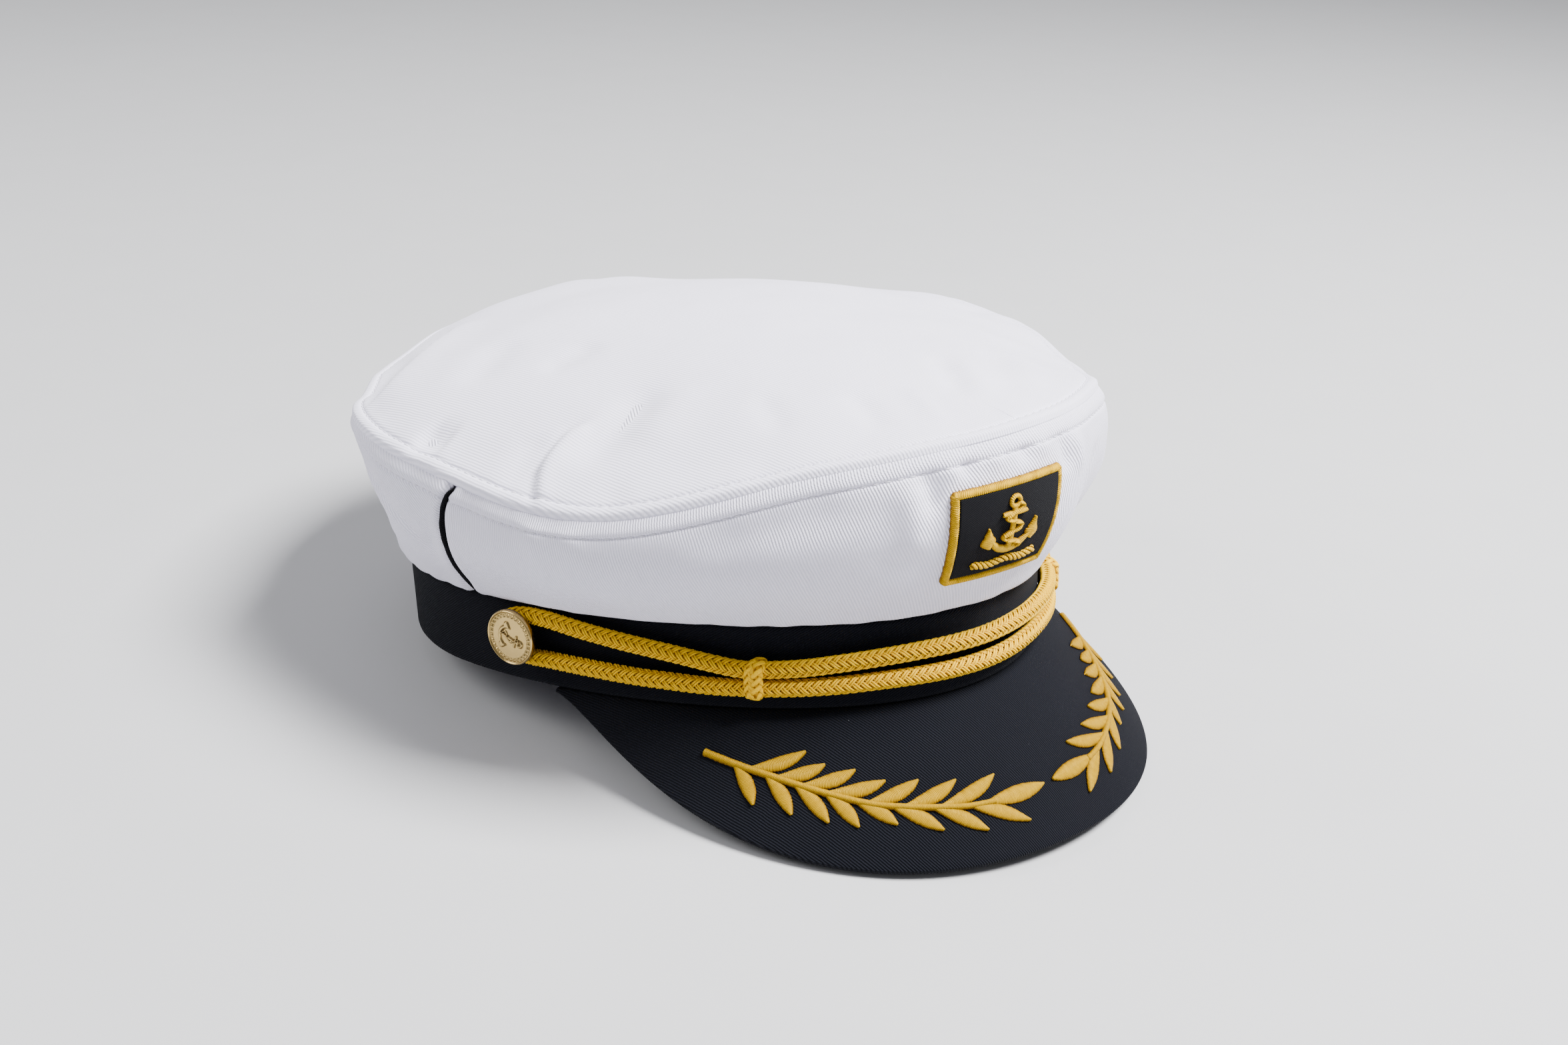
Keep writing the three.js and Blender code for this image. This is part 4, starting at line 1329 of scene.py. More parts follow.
    def build_piping(self, side: int, name: str) -> None:
        """Makes the piping of one side seam: a bead of folded cloth, thin at the top and round in front.

        Args:
            side: 1 for the wearer's right, -1 for the left.
            name: of the node that it replaces.
        """
        share = np.linspace(0.0, 1.0, 90)
        turn = side * self.piping_turn(share)
        wander = 0.22 * np.sin(share * 21.0 + 0.6) + 0.12 * np.sin(share * 47.0)
        half = 0.3 + 0.28 * np.sin(np.pi * np.clip(0.12 + 0.82 * (1 - share), 0, 1)) ** 0.8
        per_degree = np.linalg.norm(self.side(turn + 0.5, share) - self.side(turn - 0.5, share), axis=1)
        across = np.linspace(-1, 1, 9)
        turns = (turn + side * wander * 0.5 / per_degree)[:, None] + across * (half / per_degree)[:, None]
        bead = 0.75 * np.sqrt(np.maximum(1 - across**2, 0.0))[None] * (0.6 + 0.4 * half[:, None] / 0.58)
        outer = self.side(turns, share[:, None], bead - 0.3)
        inner = self.side(turns, share[:, None], -self.wall * self.lining)
        sheets = slab(outer, inner, pairs_of(share[:, None] * 50.0, across * 1.4))
        self.makes.piece(name + "_bead", [sheets], [self.finishes.piping], "black_cloth", [name])

    def build(self) -> None:
        """Makes the whole crown with its stitching."""

        def front_end(share: Array) -> Array:
            """The turn at which the front panel ends beside the right piping."""
            return self.piping_turn(share) - self.slot

        def back_start(share: Array) -> Array:
            """The turn at which the back panel starts behind the right piping."""
            return self.piping_turn(share) + self.slot

        top = self.build_top()
        front = self.build_side("crown_side_front", lambda share: -front_end(share), front_end, 236)
        back = self.build_side("crown_side_back", back_start, lambda share: 360 - back_start(share), 250)
        for side, word in SIDES:
            self.build_piping(side, f"side_piping_{word}")
        threads: list[Sheet] = []
        for strip, start, end in ((top, 0.0, 360.0), (front, -79.0, 79.0), (back, 83.0, 277.0)):
            turns = np.linspace(start, end, 1400)
            points, faces = strip.read(turns, np.full_like(turns, STITCH_ROW))
            threads += stitches(points, faces, STITCH_LENGTH, share=0.78, thick=0.5)
        self.makes.piece("crown_topstitching", [threads], [self.finishes.white_thread], "white_twill", [])


@dataclass
class HeadBand(Assembly):
    """The navy band: a soft-edged cloth wall with a turned hem."""

    height: float = BAND_HEIGHT
    wall: float = 2.6

    def build(self) -> None:
        """Makes the band as a wall between an outer and an inner oval, with rounded edges and faint waves."""
        turns = np.linspace(0, 360, 361)
        low = np.array([0.0, 0.12, 0.35, 0.7, 1.2])
        up = np.concatenate([low, np.linspace(1.8, self.height - 1.8, 26), self.height - low[::-1]])
        edge = np.minimum(up, self.height - up)
        rounding = -0.6 * bell(edge, 0.55)
        turn, high = np.meshgrid(turns, up)
        wave = 0.14 * soft_noise(OVAL.arc(turn), high * 0.7, 26.0, 21) * np.minimum(1, edge / 3)[:, None]
        wave[:, -1] = wave[:, 0]  # the ring closes without a step
        outer = OVAL.at(turn, rounding[:, None] + wave, high)
        inner = OVAL.at(turn, -self.wall - 0.5 * rounding[:, None], high)
        uv = np.stack([OVAL.arc(turn), high], axis=-1)
        sheets = slab(outer, inner, uv, ring=True)
        self.makes.piece("head_band_cloth", [sheets], [self.finishes.band_twill], "navy_twill", ["head_band"])


@dataclass
class Peak(Assembly):
    """The sloping navy peak: cloth over a board, with a rolled edge."""

    reach_turn: float = 72.4
    depth: float = 45.3
    end_depth: float = 0.9
    fullness: float = 1.42
    wall: float = 2.6
    roll: float = 0.5
    root: float = 2.1
    slope: float = 42.0
    slope_gain: float = 8.5
    curl: float = 16.0
    thinning: float = 0.4
    clear: float = 0.3

    def depth_at(self, turn: Array) -> Array:
        """The peak's depth: one less the turn's share cubed, to the power of the fullness."""
        away = np.minimum(1.0, np.abs(turn) / self.reach_turn)
        return self.end_depth + (self.depth - self.end_depth) * (1 - away**3) ** self.fullness

    def at(self, turn: Array, share: Array, lift: Array = 0.0) -> Array:
        """Points over the peak: down an arc whose slope grows from root to edge, lifted square to it.

        Args:
            turn: in degrees.
            share: of the depth, 0 at the root and 1 at the edge.
            lift: distance over the peak's top face.

        Returns:
            Points in the shape that the three share.
        """
        turn, share, lift = matched(turn, share, lift)
        away = np.minimum(1.0, np.abs(turn) / self.reach_turn)
        middle = self.slope + self.slope_gain * away**2
        chord = np.radians(middle + self.curl * (share / 2 - 0.5))
        slope = np.radians(middle + self.curl * (share - 0.5))
        depth = self.depth_at(turn) * share
        out = depth * np.cos(chord) + lift * np.sin(slope)
        return OVAL.at(turn, out, -self.clear - depth * np.sin(chord) + lift * np.cos(slope))

    def face(self, turn: Array, share: Array) -> Array:
        """The direction square to the peak, from small steps over it.

        Args:
            turn: in degrees.
            share: of the depth.

        Returns:
            Unit vectors that look up.
        """
        over = self.at(turn + 0.05, share) - self.at(turn - 0.05, share)
        down = self.at(turn, share + 0.01) - self.at(turn, share - 0.01)
        square = unit(np.cross(over, down))
        return square * np.sign(square[..., 2:3])

    def build(self) -> None:
        """Makes the peak: the top face, half of the rolled edge, and the same again from below."""
        turns = self.reach_turn * np.sin(np.linspace(-np.pi / 2, np.pi / 2, 241))
        share = np.linspace(0, 1, 40)
        turn, part = np.meshgrid(turns, share)
        wall = self.wall * (1 - self.thinning * (turns / self.reach_turn) ** 4)
        calm = np.clip(self.depth_at(turn) / 12, 0, 1) * ease(part * 6) * ease((1 - part) * 8)
        base = self.at(turn, part)
        wave = 0.16 * soft_noise(base[..., 0], base[..., 1], 21.0, 31) * calm
        top = self.at(turn, part, wave)
        bottom = self.at(turn, part, -wall)
        angles = np.radians([22.0, 45.0, 67.0, 90.0])[:, None]
        stick_out = 1 + np.minimum(self.roll / self.depth_at(turns), 0.3)[None] * np.sin(angles)
        half = wall / 2
        top_roll = self.at(turns, stick_out, -half + half * np.cos(angles))
        low_roll = self.at(turns, stick_out, -half - half * np.cos(angles))
        root_top = OVAL.at(turns, -self.root, -self.clear)[None]
        root_low = OVAL.at(turns, -self.root, -self.clear - wall)[None]
        outer = np.concatenate([root_top, top, top_roll])
        inner = np.concatenate([root_low, bottom, low_roll])
        share_out = np.concatenate([np.zeros((1, len(turns))), part, stick_out])
        uv = OVAL.at(turns, self.depth_at(turns) * share_out, 0.0)[..., :2]
        sheets = slab(outer, inner, uv)
        self.makes.piece("peak_cloth", [sheets], [self.finishes.peak_twill], "navy_twill", ["peak"])


@dataclass
class Laurel(Assembly):
    """The two laurel branches, satin-stitched on the peak."""

    peak: Peak
    leaf_raise: float = 0.8
    stem_raise: float = 1.2
    stem_half: float = 1.05
    leaf_half: float = 1.85
    end_leaf_half: float = 2.15
    leaf_bow: float = 0.7
    inner_leaves: int = 7
    clear: float = 0.05
    stem: tuple[tuple[float, float], ...] = (
        (48.3, 0.44), (44, 0.47), (39.3, 0.5), (34.5, 0.54), (30, 0.58), (25.4, 0.62), (21.2, 0.64),
        (16.8, 0.66), (12.6, 0.68), (9, 0.685),
    )
    leaves: tuple[tuple[float, float, float, float], ...] = (
        (42.0, 0.48, 34.2, 0.3), (38.1, 0.5, 31.5, 0.38), (34.6, 0.53, 27.3, 0.41), (31.2, 0.56, 23.3, 0.48),
        (26.0, 0.61, 18.7, 0.49), (21.2, 0.635, 13.4, 0.52), (16.4, 0.655, 7.6, 0.54),
        (44.0, 0.475, 41.0, 0.74), (39.6, 0.505, 36.0, 0.74), (35.6, 0.54, 31.3, 0.75), (31.6, 0.57, 27.5, 0.76),
        (27.8, 0.6, 22.6, 0.74), (23.0, 0.635, 16.9, 0.79), (17.6, 0.66, 11.3, 0.83), (12.8, 0.675, 5.4, 0.84),
        (10.2, 0.683, 0.9, 0.68),
    )

    def _line(
        self, route: Sequence, side: int, half_widths: Callable[[Array], Array], bow: float, raised: float, seed: int
    ) -> list[Sheet]:
        """One satin line over the peak.

        Args:
            route: turn and share of the peak's depth at points of its middle line.
            side: 1 for the wearer's right.
            half_widths: half the width as a function of the share of its length.
            bow: how far the middle of the line bends sideways, in millimetres.
            raised: height of its padding.
            seed: of its uneven threads.

        Returns:
            The sheets of one shell.
        """
        placed = np.array(route, float) * np.array([side, 1.0])
        spots = self.peak.at(placed[:, 0], placed[:, 1], self.clear)
        even = even_curve(np.concatenate([spots, placed], axis=1), LAUREL_PITCH / 4)
        share = np.linspace(0, 1, len(even))
        faces = self.peak.face(even[:, 3], even[:, 4])
        axis = self.peak.at(even[:, 3], even[:, 4], self.clear)
        along = unit(np.gradient(axis, axis=0))
        across = unit(np.cross(along, faces)) * side
        axis = axis + across * (bow * np.sin(np.pi * share))[:, None]
        return satin(axis, faces, half_widths(share), raised, LAUREL_PITCH, slant=0.35, seed=seed)

    def build(self) -> None:
        """Makes both branches: a stem, pointed leaves on its two sides and one leaf at its end."""
        last = len(self.leaves) - 1
        for side, word in SIDES:
            shells = [self._line(self.stem, side, lambda s: self.stem_half * (1 - 0.2 * s), 0.0, self.stem_raise, 5)]
            for number, (turn1, share1, turn2, share2) in enumerate(self.leaves):
                half = self.end_leaf_half if number == last else self.leaf_half
                bow = 0.0 if number == last else self.leaf_bow * (1 if number < self.inner_leaves else -1)

                def lance(share: Array, half: float = half) -> Array:
                    """Half a leaf's width: narrow at the foot, widest before its middle, blunt at the tip."""
                    body = np.sin(np.pi * np.clip(0.06 + 0.9 * share**1.15, 0, 1)) ** 0.85
                    return 1.06 * half * np.maximum(body, 0.16)

                ends = [(turn1, share1), (turn2, share2)]
                shells.append(self._line(ends, side, lance, bow, self.leaf_raise, 10 + number))
            self.makes.piece(
                f"laurel_branch_{word}", shells, [self.finishes.laurel_thread], "gold_thread", [f"laurel_{word}"]
            )


@dataclass(frozen=True)
class CordLine:
    """The line that a braid follows: its points, the run to each, the directions out of the band and across, and how
    far the tube is open there, which falls to nearly nought at the free ends."""

    points: Array
    run: Array
    out: Array
    across: Array
    open_share: Array
    thick: float
    wide: float
    ring: bool


@dataclass
class Braid:
    """A braided tube: strands of one or two yarns, each strand passing over two and under two of the others. With
    strands that turn one way only it is a laid rope."""

    each_way: int = 6
    lead: float = 13.2
    sides: int = 5
    yarns: int = 2
    yarn: float = 0.125
    core: float = 0.52
    core_rings: int = 300
    dive: float = 0.12
    level: float = 0.76
    snap: float = 1.3
    end_length: float = 0.8
    ways: tuple[int, ...] = (1, -1)

    def shells(self, points: Array, outs: Array, thick: float, wide: float, ring: bool) -> list[list[Sheet]]:
        """The strands along a line, and a core.

        Args:
            points: the line, at even steps.
            outs: the direction out of the band at each point.
            thick: half the tube's thickness outwards.
            wide: half the tube's width.
            ring: whether the line closes.

        Returns:
            One shell for each yarn and one for the core.
        """
        if ring:
            points, outs = np.concatenate([points, points[:1]]), np.concatenate([outs, outs[:1]])
            along = unit(np.roll(points[:-1], -1, axis=0) - np.roll(points[:-1], 1, axis=0))
            along = np.concatenate([along, along[:1]])
        else:
            along = unit(np.gradient(points, axis=0))
        run = run_along(points)
        out = unit(outs - along * np.einsum("ij,ij->i", outs, along)[:, None])
        to_end = np.minimum(run, run[-1] - run)
        open_share = np.ones(len(points)) if ring else ease(to_end / self.end_length) * 0.98 + 0.02
        line = CordLine(points, run, out, np.cross(along, out), open_share, thick, wide, ring)
        lead = run[-1] / max(1, round(run[-1] / self.lead)) if ring else self.lead
        strands = [self._strand(line, lead, way, number) for way in self.ways for number in range(self.each_way)]
        return [yarn for strand in strands for yarn in strand] + [self._core(line)]

    def _strand(self, line: CordLine, lead: float, way: int, number: int) -> list[list[Sheet]]:
        """One strand: its yarns side by side.

        The strand's angle round the line is its start plus or less a full turn for each lead. Its distance from the
        line swings with the crossings that it has passed, two over and two under.

        Args:
            line: what it follows.
            lead: length of one full turn.
            way: 1 or -1, the way in which it turns.
            number: of the strand among those that turn its way.

        Returns:
            One shell for each yarn.
        """
        ratio = line.wide / line.thick
        angle = 2 * np.pi * (number / self.each_way + way * line.run / lead)
        passed = 2 * number + way * 2 * self.each_way * line.run / lead
        swing = way * np.tanh(self.snap * np.cos(2 * np.pi * (passed - 0.5) / 4)) / np.tanh(self.snap)
        radial = line.out * np.cos(angle)[:, None] + line.across * (np.sin(angle) * ratio)[:, None]
        spot = line.points + radial * (line.thick * (self.level + self.dive * swing) * line.open_share)[:, None]
        heading = unit(np.gradient(spot, axis=0))
        if line.ring:
            heading[0] = heading[-1] = unit((spot[1] - spot[0]) + (spot[-1] - spot[-2]))
        normal = line.out * (np.cos(angle) * ratio)[:, None] + line.across * np.sin(angle)[:, None]
        normal = unit(normal - heading * np.einsum("ij,ij->i", normal, heading)[:, None])
        side = np.cross(heading, normal)
        half_thick = line.thick * self.yarn * line.open_share
        half_wide = half_thick * (1.0 if self.yarns > 1 else 1.5 * np.sqrt(ratio))
        angles = np.linspace(0, 2 * np.pi, self.sides + 1) + 0.5
        uv = pairs_of(line.run[:, None], angles / (2 * np.pi))
        # Painted shade: the depth value grows where the strand dives under another and on its sides, and darkens the
        # cord's colour there.
        sunk_shade = np.clip(0.45 - 0.45 * swing, 0, 1)[:, None] + 0.25 * np.cos(angles) ** 2
        low = np.clip(sunk_shade - 0.1, 0.001, 1.0)
        if not line.ring:
            uv, low = doubled_ends(uv), doubled_ends(low)
        shells = []
        for lane in np.arange(self.yarns) - (self.yarns - 1) / 2:
            yarn = spot + side * (lane * 2.1 * half_wide)[:, None]
            rings = tube(yarn, side * half_wide[:, None], normal * half_thick[:, None], angles)
            shells.append([Sheet(rings if line.ring else closed_ends(yarn, rings), uv, depth=low)])
        return shells

    def _core(self, line: CordLine) -> list[Sheet]:
        """The core that closes the gaps between the strands, given the cord's full painted shade: a plain tube with
        fewer rings than the line.

        Args:
            line: what it follows.

        Returns:
            The sheets of one shell.
        """
        last = len(line.points) - 1
        step = max(1, (last if line.ring else last + 1) // self.core_rings)
        pick = np.append(np.arange(0, last, step), last)
        angles = np.linspace(0, 2 * np.pi, 9)
        middle, share = line.points[pick], self.core * line.open_share[pick, None]
        rings = tube(middle, line.out[pick] * line.thick * share, line.across[pick] * line.wide * share, angles)
        uv = pairs_of(line.run[pick, None], angles)
        if not line.ring:
            rings, uv = closed_ends(middle, rings), doubled_ends(uv)
        # Painted shade: the core takes the cord's darkest colour all over.
        return [Sheet(rings, uv, depth=np.ones(rings.shape[:2]))]


@dataclass
class CordSet(Assembly):
    """The gold cord: one closed loop round both buttons, and a knot over its two runs on each side."""

    diameter: float = 4.6
    clear: float = 0.5
    step: float = 0.69
    knot_turn: float = 41.0
    knot_rows: tuple[float, float] = (0.532, 0.312)
    route: tuple[tuple[float, float], ...] = (
        (0, 0.644), (7, 0.647), (14, 0.645), (21, 0.627), (28, 0.59), (34, 0.55), (38.7, 0.532),
        (43.3, 0.532), (48, 0.595), (53, 0.672), (60, 0.756), (66, 0.828), (69.8, 0.878), (72.3, 0.905),
        (75.3, 0.908), (77.7, 0.86), (78.9, 0.74), (78.9, 0.58), (77.7, 0.455), (75.3, 0.398), (72.3, 0.398),
        (69.8, 0.392), (66, 0.38), (60, 0.356), (53, 0.333), (48, 0.315), (43.3, 0.312), (38.7, 0.312),
        (34, 0.318), (28, 0.332), (21, 0.35), (14, 0.35), (7, 0.342), (0, 0.338),
    )

    @property
    def out(self) -> float:
        """How far the cord's middle stands out of the band."""
        return self.clear + self.diameter / 2

    def build(self) -> None:
        """Makes the loop and both knots."""
        half = np.array(self.route)
        mirrored = half[1:-1][::-1] * np.array([-1.0, 1.0])
        route = np.concatenate([half, mirrored])
        middles = OVAL.at(route[:, 0], self.out, route[:, 1] * BAND_HEIGHT)
        even = even_curve(np.concatenate([middles, OVAL.outwards(route[:, 0])], axis=1), self.step, ring=True)
        radius = self.diameter / 2
        shells = Braid().shells(even[:, :3], unit(even[:, 3:]), radius, radius * 1.04, ring=True)
        look = [self.finishes.gold_cord]
        self.makes.piece("gold_cord_loop", shells, look, "gold_cord", ["cord_loop"])
        for side, word in SIDES:
            self.makes.piece(f"cord_knot_wrap_{word}", self.knot(side), look, "gold_cord", [f"cord_knot_{word}"])

    def knot(self, side: int) -> list[list[Sheet]]:
        """The knot: a wide turn of braid leaning over both runs, and a second that bows out from under it.

        Args:
            side: 1 for the wearer's right, -1 for the left.

        Returns:
            The shells of the knot.
        """
        turn = side * self.knot_turn
        high, low = (row * BAND_HEIGHT for row in self.knot_rows)
        radius = self.diameter / 2 - 0.45
        angles = np.radians(np.linspace(-90, 90, 13))
        over = self.out + (radius + 0.7) * np.cos(angles)
        up = np.where(angles < 0, low, high) + radius * np.sin(angles) * 1.04
        over = np.concatenate([[1.0, 1.6], over, [1.6, 1.0]])
        foot, head = low - radius, high + radius
        up = np.concatenate([[foot + 0.9, foot + 0.15], up, [head - 0.15, head - 0.9]])
        per_degree = np.linalg.norm(OVAL.at(turn + 0.5, self.out, 0) - OVAL.at(turn - 0.5, self.out, 0))
        braid = Braid(each_way=4, lead=8.6, sides=8, yarns=1, yarn=0.3, core=0.7)
        shells = []
        way = np.linspace(-1, 1, len(up))
        inside = OVAL.at(turn, self.out, (high + low) / 2)
        for bow, lift, thick, wide in ((0.0, 0.0, 1.05, 2.0), (1.9, -0.45, 0.95, 1.35)):
            lane = turn + side * (0.3 - 1.1 * way + bow * (1 - way**2)) / per_degree
            even = even_curve(OVAL.at(lane, over + lift, up), 0.3)
            shells += braid.shells(even, unit(even - inside), thick, wide, ring=False)
        return shells


@dataclass
class Button(Assembly):
    """A pressed metal button: a low domed disc with a rounded rim, a ring of rope marks and an anchor."""

    turn: float = 76.6
    up: float = 15.0975
    radius: float = 7.6
    back: float = 5.4
    thick: float = 1.5
    shank_radius: float = 1.3
    rim_at: float = 7.25
    marks_at: float = 6.25
    marks: int = 30
    lean: float = -22.0

    @staticmethod
    def _stroke(x: Array, y: Array, points: Array, half: Array) -> Array:
        """How deep each point lies inside a line of changing half width: the width there less the distance.

        Args:
            x: first coordinate of the points.
            y: second coordinate.
            points: corners of the line.
            half: half width at each corner.

        Returns:
            The depth, below nought outside the line.
        """
        best = np.full(x.shape, -9.0)
        for (x1, y1), (x2, y2), h1, h2 in zip(points[:-1], points[1:], half[:-1], half[1:]):
            dx, dy = x2 - x1, y2 - y1
            t = np.clip(((x - x1) * dx + (y - y1) * dy) / max(dx * dx + dy * dy, 1e-9), 0, 1)
            best = np.maximum(best, h1 + (h2 - h1) * t - np.hypot(x - x1 - dx * t, y - y1 - dy * t))
        return best

    def relief(self, x: Array, y: Array) -> tuple[Array, Array]:
        """The pressing: rim, rope marks and anchor, each a smooth rise where a point lies inside its outline.

        Args:
            x: places across the button, in millimetres from its middle.
            y: places up it.

        Returns:
            The height of the face, and the painted shade at the foot of each mark, in the rim's groove and round the
            rope marks, from 0 to 1.
        """
        r, angle = np.hypot(x, y), np.arctan2(y, x)
        dome = 0.28 * (1 - (r / self.radius) ** 2)
        from_marks = r - self.marks_at
        marks = bell(from_marks, 0.42) * ease(0.5 + 0.9 * np.sin(self.marks * angle + 2.4 * from_marks))
        height = dome + 0.45 * bell(r - self.rim_at, 0.26) + 0.36 * marks
        lean = math.radians(self.lean)
        # The anchor's own directions: a runs up its shank and b across it
        a, b = x * math.cos(lean) + y * math.sin(lean), y * math.cos(lean) - x * math.sin(lean)
        bend = np.radians(np.linspace(112, 248, 19))
        arms = np.stack([-0.2 + 3.1 * np.cos(bend), 3.1 * np.sin(bend)], axis=1)
        eye = np.radians(np.linspace(0, 360, 17))
        loop = np.stack([3.55 + 0.72 * np.cos(eye), 0.72 * np.sin(eye)], axis=1)
        sway = np.linspace(0, 1, 30)
        rope = np.stack([3.6 - 6.4 * sway, 1.15 * np.sin(sway * 9.0 + 0.4) * (0.6 + 0.5 * sway)], axis=1)
        strokes = (
            ([[-3.3, 0.0], [2.9, 0.0]], [0.36, 0.26]),
            (arms, [0.34] * len(arms)),
            (loop, [0.22] * len(loop)),
            ([[2.1, -1.5], [2.1, 1.5]], [0.2, 0.2]),
            ([[-1.9, 3.1], [-0.6, 2.6]], [0.75, 0.05]),
            ([[-1.9, -3.1], [-0.6, -2.6]], [0.75, 0.05]),
        )
        inside = np.maximum.reduce([self._stroke(a, b, np.array(line), np.array(half)) for line, half in strokes])
        height = height + 0.42 * ease(inside / 0.24 + 0.5)
        wound = self._stroke(a, b, rope, np.full(len(rope), 0.2))
        # Painted shade at the feet of the anchor's strokes and the rope, in the groove inside the rim and round the
        # rope marks.
        foot = 0.8 * bell(inside + 0.14, 0.16) + 0.55 * bell(wound + 0.1, 0.12) + 0.6 * bell(r - 6.92, 0.12)
        foot = foot + 0.45 * bell(from_marks, 0.4) * (1 - marks) + 0.2 * bell(r - 5.7, 0.15)
        return height + 0.24 * ease(wound / 0.2 + 0.5), np.clip(foot, 0.001, 1)

    def build(self) -> None:
        """Makes both buttons: a disc in rings from its middle over the rim to the middle of its back, and a shank."""
        rings = np.concatenate([np.linspace(0, self.radius - 0.25, 84), [self.radius - 0.1, self.radius]])
        angle = np.linspace(0, 2 * np.pi, 265)
        r, turn = np.meshgrid(rings, angle, indexing="ij")
        x, y = r * np.cos(turn), r * np.sin(turn)
        high, depth = self.relief(x, y)
        high[-2:] = high[-3:-2] * np.array([[0.55], [0.1]])
        low = np.array([[self.radius, self.back + 0.5], [self.radius - 0.5, self.back], [0.0, self.back]])
        x = np.concatenate([x, low[:, :1] * np.cos(angle)])
        y = np.concatenate([y, low[:, :1] * np.sin(angle)])
        out = np.concatenate([self.back + self.thick + high, np.repeat(low[:, 1:], len(angle), 1)])
        # Painted shade on the back of the disc and on the shank, behind the button.
        depth = np.concatenate([depth, np.full((len(low), len(angle)), 0.6)])
        heights = np.array([0.3, 0.3, self.back + 0.2, self.back + 0.2])
        radii = np.array([0.0, self.shank_radius, self.shank_radius, 0.0])[:, None]
        small = np.linspace(0, 2 * np.pi, 25)
        shank_shade = np.full((len(heights), len(small)), 0.6)
        for side, word in SIDES:
            middle, face = OVAL.at(side * self.turn, 0.0, self.up), OVAL.outwards(side * self.turn)
            ahead = np.cross(UP, face)
            disc = middle + ahead * x[..., None] + UP * y[..., None] + face * out[..., None]
            shank = tube(middle + face * heights[:, None], ahead * radii, UP * radii, small)
            shells = [
                [Sheet(disc, np.stack([x, y], axis=-1), depth=depth)],
                [Sheet(shank, pairs_of(heights[:, None], small), depth=shank_shade)],
            ]
            self.makes.piece(f"anchor_button_{word}", shells, [self.finishes.brass], "gold_metal", [f"button_{word}"])


